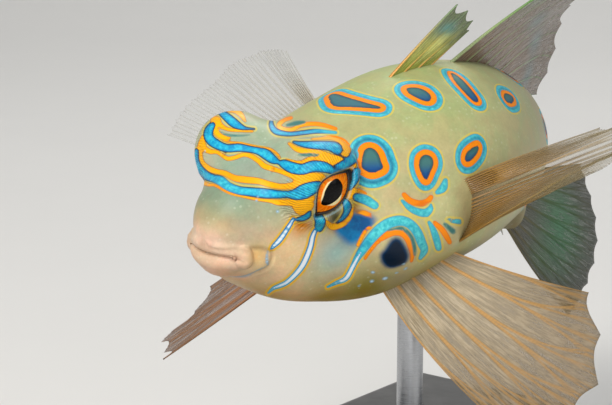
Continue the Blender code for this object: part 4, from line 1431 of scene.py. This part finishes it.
# The stand: the base's soft edge, the rod's radius and soft rim, how far it goes into the base and into the
# belly, and the sharpest angle that is shaded smooth, in degrees
BASE_EDGE = 1.0 * MM
ROD_RADIUS = 1.0 * MM
ROD_RIM = 0.15 * MM
ROD_FOOT_SUNK = 0.2 * MM
ROD_TOP_SUNK = 0.9 * MM
SMOOTH_ANGLE = 40.0
# The studio: the floor's half width, where it starts to bend behind the fish, and the bend's radius
FLOOR_HALF = 0.9
FLOOR_BACK = 0.30
BACKDROP_BEND = 0.25
# Lights: turn and rise round the fish in degrees, distance, size, power and colour. Then the colour and
# strength of the air round them
LIGHTS = {
    "key_light": (8.0, 46.0, 0.35, 0.16, 1.15, (1.0, 0.98, 0.95)),
    "fill_light": (95.0, 18.0, 0.45, 0.30, 0.30, (0.95, 0.98, 1.0)),
    "front_light": (40.0, 4.0, 0.60, 0.25, 0.50, (1.0, 1.0, 1.0)),
    "rim_light": (205.0, 45.0, 0.45, 0.20, 0.60, (1.0, 1.0, 1.0)),
}
AIR_COLOUR = (0.86, 0.90, 0.95, 1.0)
AIR_STRENGTH = 0.30


def soften(piece, name, width, segments):
    """Rounds the edges of the piece just added."""
    work(piece, name, "BEVEL", width=width, segments=segments)
    bpy.ops.object.shade_smooth_by_angle(angle=math.radians(SMOOTH_ANGLE))


def make_stand(base_material, rod_material):
    """The stand's base with softened edges, and its rod from the base into the belly."""
    low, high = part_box("stand_base")
    base = add_primitive("fine_stand_base", bpy.ops.mesh.primitive_cube_add, size=1.0)
    sizes, middle = np.array(high - low), np.array(high + low) / 2
    move_vertices(base, vertex_places(base) * sizes + middle)
    soften(base, "soft_edge", BASE_EDGE, 6)
    finish_piece(base, base_material, "stand_black", "stand_base")

    foot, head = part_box("stand_rod")
    rod = add_primitive(
        "fine_stand_rod", bpy.ops.mesh.primitive_cylinder_add, vertices=64, radius=1.0, depth=1.0
    )
    bottom, top = high.z - ROD_FOOT_SUNK, head.z + ROD_TOP_SUNK
    middle = np.array([(foot.x + head.x) / 2, (foot.y + head.y) / 2, (bottom + top) / 2])
    move_vertices(rod, vertex_places(rod) * [ROD_RADIUS, ROD_RADIUS, top - bottom] + middle)
    soften(rod, "soft_rim", ROD_RIM, 3)
    finish_piece(rod, rod_material, "stand_steel", "stand_rod")


def make_floor(material):
    """A pale floor that bends up into a backdrop."""
    floor = add_primitive(
        "studio_floor", bpy.ops.mesh.primitive_grid_add, x_subdivisions=2, y_subdivisions=64, size=2.0
    )
    sheet = vertex_places(floor)
    run = (sheet[:, 1] + 1.0) / 2.0 * (FLOOR_HALF * 2 + FLOOR_BACK) - FLOOR_HALF
    bend = np.clip((run - FLOOR_BACK) / BACKDROP_BEND, 0.0, math.pi / 2)
    past = np.clip(run - FLOOR_BACK - BACKDROP_BEND * math.pi / 2, 0.0, None)
    back = np.minimum(run, FLOOR_BACK) + BACKDROP_BEND * np.sin(bend)
    away, side = towards(CAMERA_TURN + 180.0, 0.0), towards(CAMERA_TURN + 90.0, 0.0)
    places = away * back[:, None] + side * (sheet[:, 0] * FLOOR_HALF)[:, None]
    places[:, 2] = BACKDROP_BEND * (1.0 - np.cos(bend)) + past
    move_vertices(floor, places)
    floor.data.shade_smooth()
    coat(floor, material)


def aim(thing, way):
    """Turns a camera or a light to look along a way."""
    thing.rotation_mode = "QUATERNION"
    thing.rotation_quaternion = Vector(way).to_track_quat("-Z", "Y")


def add_light(name, turn, rise, distance, size, power, colour):
    """A square soft light that looks at the fish, placed by turn and rise like the camera."""
    back = towards(turn, rise)
    bpy.ops.object.select_all(action="DESELECT")
    bpy.ops.object.light_add(type="AREA", location=Vector(CAMERA_TARGET) + Vector(back) * distance)
    light = bpy.context.active_object
    light.name = name
    aim(light, -back)
    light.data.size = size
    light.data.energy = power
    light.data.color = colour


def make_studio():
    place, _, _, back = camera_axes()
    camera = bpy.data.objects.new("camera", bpy.data.cameras.new("camera"))
    bpy.context.scene.collection.objects.link(camera)
    camera.location = place
    aim(camera, -back)
    camera.data.lens = CAMERA_LENS
    camera.data.sensor_width = CAMERA_SENSOR
    camera.data.clip_start = 0.001
    camera.data.clip_end = 10.0
    bpy.context.scene.camera = camera
    for name, light in LIGHTS.items():
        add_light(name, *light)
    world = bpy.data.worlds.new("studio_air")
    world.use_nodes = True
    air = world.node_tree.nodes["Background"].inputs
    air["Color"].default_value, air["Strength"].default_value = AIR_COLOUR, AIR_STRENGTH
    bpy.context.scene.world = world
    bpy.context.scene.view_settings.view_transform = "Standard"


class Recipe:
    """Builds a node tree from short calls. A value may be a number, a colour or another node's output."""

    def __init__(self, tree, material=None):
        self.tree, self.material = tree, material

    def node(self, kind, settings=(), **inputs):
        made = self.tree.nodes.new(kind)
        for name, value in dict(settings).items():
            setattr(made, name, value)
        self.feed_all(made, inputs)
        return made

    def feed_all(self, node, inputs):
        for name, value in inputs.items():
            self.feed(node.inputs[name.replace("_", " ")], value)

    def feed(self, socket, value):
        if isinstance(value, bpy.types.NodeSocket):
            self.tree.links.new(value, socket)
        elif hasattr(socket.default_value, "__len__") and not hasattr(value, "__len__"):
            socket.default_value = (value,) * len(socket.default_value)
        elif hasattr(value, "__len__"):
            value = [float(v) for v in value]
            socket.default_value = value + [1.0] * (len(socket.default_value) - len(value))
        else:
            socket.default_value = value

    def feed_in_order(self, node, *values):
        for socket, value in zip(node.inputs, values):
            self.feed(socket, value)
        return node.outputs[0]

    def surface(self, **inputs):
        """Sets the shader's sockets, and gives the finished material."""
        self.feed_all(self.tree.nodes["Principled BSDF"], inputs)
        return self.material

    def effect(self, name, **inputs):
        """The outputs of a shared effect."""
        return self.node("ShaderNodeGroup", {"node_tree": bpy.data.node_groups[name]}, **inputs).outputs

    def layer(self, name, output="Fac"):
        return self.node("ShaderNodeAttribute", {"attribute_name": name}).outputs[output]

    def math(self, operation, a, b=0.0):
        return self.feed_in_order(self.node("ShaderNodeMath", {"operation": operation}), a, b)

    def times(self, a, b):
        return self.math("MULTIPLY", a, b)

    def plus(self, a, b):
        return self.math("ADD", a, b)

    def size(self, value):
        return self.math("ABSOLUTE", value)

    def vector(self, operation, a, b=(0, 0, 0)):
        made = self.node("ShaderNodeVectorMath", {"operation": operation})
        self.feed_in_order(made, a, b)
        return made.outputs["Value" if operation in ("DOT_PRODUCT", "LENGTH") else "Vector"]

    def join(self, x, y, z=0.0):
        return self.node("ShaderNodeCombineXYZ", X=x, Y=y, Z=z).outputs[0]

    def step(self, value, low, high, start=0.0, end=1.0):
        made = self.node("ShaderNodeMapRange", {"interpolation_type": "SMOOTHSTEP"})
        return self.feed_in_order(made, value, low, high, start, end)

    def satin(self, height, low, high):
        """A roughness that follows an effect's height."""
        return self.step(height, 0.3, 0.7, low, high)

    def mix(self, share, a, b, blend_type="MIX"):
        made = self.node("ShaderNodeMix", {"data_type": "RGBA", "blend_type": blend_type})
        for index, value in ((0, share), (6, a), (7, b)):
            self.feed(made.inputs[index], value)
        return made.outputs[2]

    def noise(self, scale, detail=3.0, roughness=0.5, vector=None):
        made = self.node("ShaderNodeTexNoise", Scale=scale, Detail=detail, Roughness=roughness)
        self.feed(made.inputs["Vector"], vector or self.places())
        return made.outputs["Fac"]

    def places(self):
        return self.node("ShaderNodeTexCoord").outputs["Object"]

    def bump(self, height, strength, distance):
        made = self.node("ShaderNodeBump", Strength=strength, Distance=distance, Height=height)
        return made.outputs["Normal"]


def new_group(name, inputs, outputs):
    """A new node group with named sockets, given as (name, kind, value): its recipe, inputs and outputs."""
    group = bpy.data.node_groups.new(name, "ShaderNodeTree")
    for label, kind, value in inputs:
        socket = group.interface.new_socket(name=label, in_out="INPUT", socket_type="NodeSocket" + kind)
        socket.default_value = value
    for label, kind in outputs:
        group.interface.new_socket(name=label, in_out="OUTPUT", socket_type="NodeSocket" + kind)
    given, out = group.nodes.new("NodeGroupInput"), group.nodes.new("NodeGroupOutput")
    return Recipe(group), given.outputs, out.inputs


def make_painted_band():
    """One marking over the colour under it, with an edge colour, a middle colour and a thin outline."""
    mix, given, out = new_group(
        "painted_band",
        (
            ("Under", "Color", (1, 1, 1, 1)), ("Field", "Float", 0.0), ("Edge", "Color", (0, 0, 0, 1)),
            ("Middle", "Color", (1, 1, 1, 1)), ("Depth", "Float", 0.2), ("Softness", "Float", 0.03),
            ("Outline", "Color", (0, 0, 0, 1)), ("Outline Width", "Float", 0.04),
            ("Outline Strength", "Float", 0.5),
        ),
        (("Color", "Color"),),
    )
    field, softness = given["Field"], given["Softness"]
    inner = mix.mix(mix.step(field, 0.0, given["Depth"]), given["Edge"], given["Middle"])
    painted = mix.mix(mix.step(field, mix.times(softness, -1.0), softness), given["Under"], inner)
    near = mix.step(mix.size(field), given["Outline Width"], 0.0)
    edged = mix.mix(mix.times(near, given["Outline Strength"]), painted, given["Outline"])
    mix.feed(out["Color"], edged)


def make_living_mottle():
    """A colour made lighter and darker in fine blotches, with their height."""
    mix, given, out = new_group(
        "living_mottle",
        (("Color", "Color", (1, 1, 1, 1)), ("Scale", "Float", 900.0), ("Amount", "Float", 0.1)),
        (("Color", "Color"), ("Height", "Float")),
    )
    coarse = mix.noise(given["Scale"], 4.0, 0.55)
    fine = mix.noise(mix.times(given["Scale"], 4.7), 3.0, 0.6)
    both = mix.plus(mix.times(coarse, 0.6), mix.times(fine, 0.4))
    swing = mix.times(mix.math("SUBTRACT", both, 0.5), given["Amount"])
    bright = mix.plus(1.0, mix.times(swing, 2.0))
    mix.feed(out["Color"], mix.vector("MULTIPLY", given["Color"], mix.join(bright, bright, bright)))
    mix.feed(out["Height"], both)


def make_lid_pleats():
    """The height of fine pleats that run out from the middle of an eye over its lids."""
    mix, given, out = new_group(
        "lid_pleats",
        (
            ("Centre", "Vector", (0, 0, 0)), ("Along", "Vector", (1, 0, 0)),
            ("Across", "Vector", (0, 1, 0)), ("Gaze", "Vector", (0, 0, 1)), ("Count", "Float", 90.0),
        ),
        (("Height", "Float"),),
    )
    offset = mix.vector("SUBTRACT", mix.places(), given["Centre"])
    ways = [given[way] for way in ("Along", "Across", "Gaze")]
    along, across, ahead = [mix.vector("DOT_PRODUCT", offset, way) for way in ways]
    wobble = mix.times(mix.noise(1400.0, 2.0), 0.12)
    turn = mix.plus(mix.math("ARCTAN2", across, along), wobble)
    wave = mix.math("SINE", mix.times(turn, given["Count"]))
    # They stay near the rim of the eye, and in front of its middle
    near = mix.step(mix.vector("LENGTH", offset), 3.8 * MM, 2.9 * MM)
    forward = mix.step(ahead, -0.6 * MM, 0.8 * MM)
    mix.feed(out["Height"], mix.times(mix.times(near, forward), wave))


def new_material(name):
    """The recipe of a new material."""
    material = bpy.data.materials.new(name)
    material.use_nodes = True
    return Recipe(material.node_tree, material)


# Markings whose paint is the same all over: colour at the edge and in the middle, how far in the edge
# colour reaches and how soft the edge is in mm, then the outline's colour, width in mm and strength
EVEN_PAINT = {
    "teal": (paint(96, 140, 128), paint(64, 118, 112), 0.10, 0.06, paint(60, 90, 80), 0.04, 0.15),
    "navy": (paint(0, 64, 108), paint(0, 24, 46), 0.40, 0.24, paint(10, 60, 100), 0.02, 0.0),
    "white": (paint(150, 205, 235), paint(244, 248, 252), 0.07, 0.03, paint(60, 110, 190), 0.03, 0.25),
    "dots": (paint(130, 170, 190), paint(200, 222, 240), 0.12, 0.07, paint(100, 130, 150), 0.02, 0.0),
}
PLEATS = 88.0


def skin_material():
    """Living skin: its ground colour, markings, pleated lids, painted shade in their pleats and in creases,
    and a thin coat of slime.
    """
    mix = new_material("fish_skin")

    def band(under, field, edge, middle, depth, softness, outline, width, strength):
        return mix.effect(
            "painted_band", Under=under, Field=field, Edge=edge, Middle=middle, Depth=depth,
            Softness=softness, Outline=outline, Outline_Width=width, Outline_Strength=strength,
        )["Color"]

    def even_band(under, name):
        return band(under, mix.layer(name), *EVEN_PAINT[name])

    near_eye, blue = mix.layer("near_eye"), mix.layer("blue")
    # The ground, its pores and the deep blue stain
    blotch = mix.noise(520.0, 5.0, 0.6)
    tint = mix.mix(mix.step(blotch, 0.38, 0.62), paint(232, 218, 208), paint(214, 230, 214))
    tinted = mix.mix(0.55, mix.layer("ground", "Color"), tint, "MULTIPLY")
    ground = mix.effect("living_mottle", Color=tinted, Scale=1100.0, Amount=0.30)
    pores = mix.node("ShaderNodeTexVoronoi", Vector=mix.places(), Scale=2300.0).outputs["Distance"]
    pore = mix.times(mix.step(pores, 0.30, 0.12), mix.step(blotch, 0.42, 0.60))
    colour = mix.mix(mix.times(pore, 0.18), ground["Color"], paint(238, 236, 214))
    stain = mix.step(mix.plus(mix.layer("stain"), mix.times(blotch, 0.3)), -0.25, 0.45)
    stain_blue = mix.mix(mix.step(blotch, 0.4, 0.6), paint(0, 82, 140), paint(0, 124, 182))
    colour = mix.mix(stain, colour, stain_blue)
    # A yellow halo round the blue, then the orange lines and rings, more golden near the eyes
    halo = mix.step(mix.size(mix.plus(blue, 0.08)), 0.13, 0.03)
    colour = mix.mix(mix.times(halo, 0.62), colour, paint(220, 196, 70))
    golden = mix.times(near_eye, mix.step(mix.layer("ring"), 0.08, 0.0))
    yellow = mix.mix(golden, paint(250, 140, 0), paint(255, 180, 0))
    yellow_edge = mix.mix(golden, paint(232, 112, 0), paint(242, 148, 0))
    brown_ink = mix.step(near_eye, 0.2, 1.0, 0.10, 0.50)
    colour = band(
        colour, mix.layer("orange"), yellow_edge, yellow, 0.10, 0.035, paint(120, 84, 30), 0.05, brown_ink
    )
    colour = even_band(colour, "teal")
    # The cores of the spots, deeper blue below
    low = mix.step(mix.layer("core_low"), 0.35, 0.85)
    core_edge = mix.mix(low, paint(48, 92, 92), paint(14, 62, 116))
    core = mix.mix(low, paint(66, 116, 114), paint(14, 76, 142))
    colour = band(colour, mix.layer("core"), core_edge, core, 0.30, 0.03, paint(30, 50, 50), 0.06, 0.6)
    colour = even_band(colour, "navy")
    # The blue lines and rings, with dark ink round them that stays off the streaks
    lively = mix.step(mix.noise(3000.0, 3.0, 0.6), 0.30, 0.70)
    open_blue = mix.mix(lively, paint(44, 168, 184), paint(96, 216, 216))
    eye_blue = mix.mix(lively, paint(0, 144, 196), paint(52, 200, 224))
    inner = mix.step(mix.layer("target"), 0.10, 0.40, 0.0, 0.75)
    blue_middle = mix.mix(inner, mix.mix(near_eye, open_blue, eye_blue), paint(18, 96, 140))
    blue_edge = mix.mix(near_eye, paint(70, 172, 196), paint(18, 118, 180))
    by_streak = mix.step(mix.layer("white"), -STREAK_EDGE - 0.18, -STREAK_EDGE - 0.06)
    ink = mix.times(mix.step(near_eye, 0.3, 1.0, 0.30, 0.95), mix.step(by_streak, 1.0, 0.0, 0.15, 1.0))
    ink_width = mix.step(near_eye, 0.3, 1.0, 0.035, 0.065)
    colour = band(colour, blue, blue_edge, blue_middle, 0.20, 0.03, paint(8, 34, 56), ink_width, ink)
    # The streaks with their yellow outline, and the pale dots
    trim = mix.times(mix.step(mix.size(mix.plus(blue, 0.06)), 0.09, 0.03), mix.times(by_streak, 0.85))
    colour = even_band(mix.mix(trim, colour, paint(244, 182, 24)), "white")
    colour = even_band(colour, "dots")
    # The pleats of the lids, darkened along their folds as painted shade, the dark edge of the lids, and
    # painted shade in the creases
    pleats = mix.plus(eye_pleats(mix, 1.0), eye_pleats(mix, -1.0))
    # The pleats darken the colour towards black: painted shade along their folds
    colour = mix.mix(mix.step(pleats, 0.1, 1.0, 0.0, 0.38), colour, mix.mix(0.65, colour, (0, 0, 0)))
    margin = mix.layer("margin")
    rim = mix.step(mix.size(mix.plus(margin, 0.06)), 0.055, 0.02)
    colour = mix.mix(mix.times(rim, 0.32), colour, paint(160, 204, 214))
    colour = mix.mix(mix.step(margin, -0.05, 0.05), colour, paint(14, 16, 20))
    # Painted shade in the nostrils, the mouth line and the jaw's folds: the colour darkens towards brown
    # there
    colour = mix.mix(mix.layer("crease_shade"), colour, mix.mix(0.70, colour, paint(120, 62, 40)))
    grain = mix.noise(5200.0, 3.0, 0.6)
    height = mix.plus(mix.times(pleats, 0.9), mix.times(grain, 0.35))
    height = mix.plus(height, mix.times(ground["Height"], 0.5))
    return mix.surface(
        Base_Color=colour, Roughness=mix.satin(ground["Height"], 0.36, 0.54),
        Normal=mix.bump(height, 0.5, 0.05 * MM), Subsurface_Weight=0.12,
        Subsurface_Radius=(1.0, 0.6, 0.4), Subsurface_Scale=0.4 * MM, Specular_IOR_Level=0.22,
        Coat_Weight=0.06, Coat_Roughness=0.20,
    )


def eye_pleats(mix, hand):
    centre, (along, across, gaze) = eye_frame(hand)
    made = mix.effect("lid_pleats", Centre=centre, Along=along, Across=across, Gaze=gaze, Count=PLEATS)
    return made["Height"]


def eye_material():
    """A black pupil in a cream rim, an orange iris with radial fibres, painted shade under the lids' edge,
    and a wet clear coat.
    """
    mix = new_material("fish_eye")
    pupil = mix.layer("pupil")
    fibres = mix.join(mix.times(mix.layer("iris_turn"), 14.0), mix.times(pupil, 1.6))
    streak = mix.noise(1.0, 4.0, 0.6, fibres)
    iris = mix.mix(mix.step(streak, 0.35, 0.65), paint(250, 104, 0), paint(255, 160, 20))
    iris = mix.mix(mix.step(pupil, -1.10, -0.50), mix.mix(0.30, iris, paint(170, 50, 4)), iris)
    cream = mix.step(mix.plus(pupil, mix.layer("pupil_rim")), -0.03, 0.03)
    iris = mix.mix(cream, iris, paint(255, 236, 176))
    iris = mix.mix(mix.step(pupil, -0.025, 0.01), iris, paint(3, 2, 2))
    # Painted shade of the lids on the eyeball: dark brown along their edge and under them
    iris = mix.mix(mix.step(mix.layer("lid_gap"), 0.10, 0.02), iris, paint(60, 28, 10))
    speck = mix.effect("living_mottle", Color=iris, Scale=2600.0, Amount=0.20)
    return mix.surface(
        Base_Color=speck["Color"], Roughness=mix.step(streak, 0.2, 0.8, 0.22, 0.34),
        Normal=mix.bump(streak, 0.15, 0.03 * MM), Specular_IOR_Level=0.05, Coat_Weight=0.22,
        Coat_Roughness=0.04,
    )


def margin_material():
    """The lids' dark edge, pale blue on its outer side."""
    mix = new_material("lid_margin")
    outer = mix.step(mix.layer("outer_side"), 0.55, 0.80)
    colour = mix.mix(outer, paint(12, 12, 16), paint(110, 170, 190))
    speck = mix.effect("living_mottle", Color=colour, Scale=3000.0, Amount=0.3)
    return mix.surface(
        Base_Color=speck["Color"], Roughness=mix.satin(speck["Height"], 0.25, 0.4), Coat_Weight=0.5,
        Coat_Roughness=0.1,
    )


def fin_material():
    """Jointed rays in a thin clear web."""
    mix = new_material("fin_web")
    ray, along = mix.step(mix.layer("ray"), -0.07, 0.06), mix.layer("along")
    joints = mix.math("SINE", mix.times(along, 24.0))
    joint = mix.step(joints, 0.5, 1.0, 0.0, 0.16)
    bone = mix.mix(joint, mix.layer("ray_colour", "Color"), paint(90, 60, 30))
    lanes = mix.join(mix.times(mix.layer("lane"), 9.0), mix.times(along, 0.45))
    fibre = mix.step(mix.noise(1.0, 4.0, 0.65, lanes), 0.30, 0.70)
    web = mix.effect("living_mottle", Color=mix.layer("web_colour", "Color"), Scale=1400.0, Amount=0.35)
    dull, bright = mix.mix(0.25, web["Color"], (0, 0, 0)), mix.mix(0.12, web["Color"], (1, 1, 1))
    cover = mix.times(mix.layer("cover"), mix.step(fibre, 0.0, 1.0, 0.70, 1.15))
    open_part = mix.times(mix.math("MINIMUM", cover, 1.0), mix.math("SUBTRACT", 1.0, ray))
    crinkle = mix.plus(mix.times(joints, mix.times(ray, 0.3)), fibre)
    return mix.surface(
        Base_Color=mix.mix(ray, mix.mix(fibre, dull, bright), bone),
        Alpha=mix.plus(open_part, mix.times(ray, mix.layer("ray_cover"))),
        Roughness=mix.satin(web["Height"], 0.30, 0.48), Normal=mix.bump(crinkle, 0.4, 0.04 * MM),
        Coat_Weight=0.2, Coat_Roughness=0.15,
    )


def base_material():
    """Satin black lacquer with faint dust and rubbing."""
    mix = new_material("satin_black")
    lacquer = mix.effect("living_mottle", Color=paint(26, 25, 26), Scale=90.0, Amount=0.25)
    return mix.surface(
        Base_Color=lacquer["Color"], Roughness=mix.satin(lacquer["Height"], 0.26, 0.42),
        Normal=mix.bump(mix.noise(2400.0, 2.0), 0.08, 0.05 * MM), Coat_Weight=0.3, Coat_Roughness=0.2,
    )


def rod_material():
    """Brushed steel, with fine streaks round the rod."""
    mix = new_material("brushed_steel")
    stretched = mix.node("ShaderNodeMapping", Vector=mix.places(), Scale=(1.0, 1.0, 60.0)).outputs[0]
    streak = mix.noise(260.0, 4.0, 0.6, stretched)
    return mix.surface(
        Base_Color=mix.mix(streak, paint(150, 152, 156), paint(206, 208, 212)), Metallic=1.0,
        Roughness=mix.step(streak, 0.2, 0.8, 0.22, 0.42), Normal=mix.bump(streak, 0.2, 0.02 * MM),
    )


def floor_material():
    """Matt pale board."""
    mix = new_material("pale_floor")
    board = mix.effect("living_mottle", Color=paint(226, 224, 220), Scale=18.0, Amount=0.03)
    return mix.surface(Base_Color=board["Color"], Roughness=mix.satin(board["Height"], 0.75, 0.85))


def main():
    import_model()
    make_studio()
    make_painted_band()
    make_living_mottle()
    make_lid_pleats()
    make_skin(skin_material())
    eye, margin, web = eye_material(), margin_material(), fin_material()
    for side, hand in zip(("left", "right"), HANDS):
        make_eye(side, hand, eye)
        make_lid_margin(side, hand, margin)
    for name in FIN_BUILD:
        make_fin(name, web)
    make_stand(base_material(), rod_material())
    make_floor(floor_material())


main()
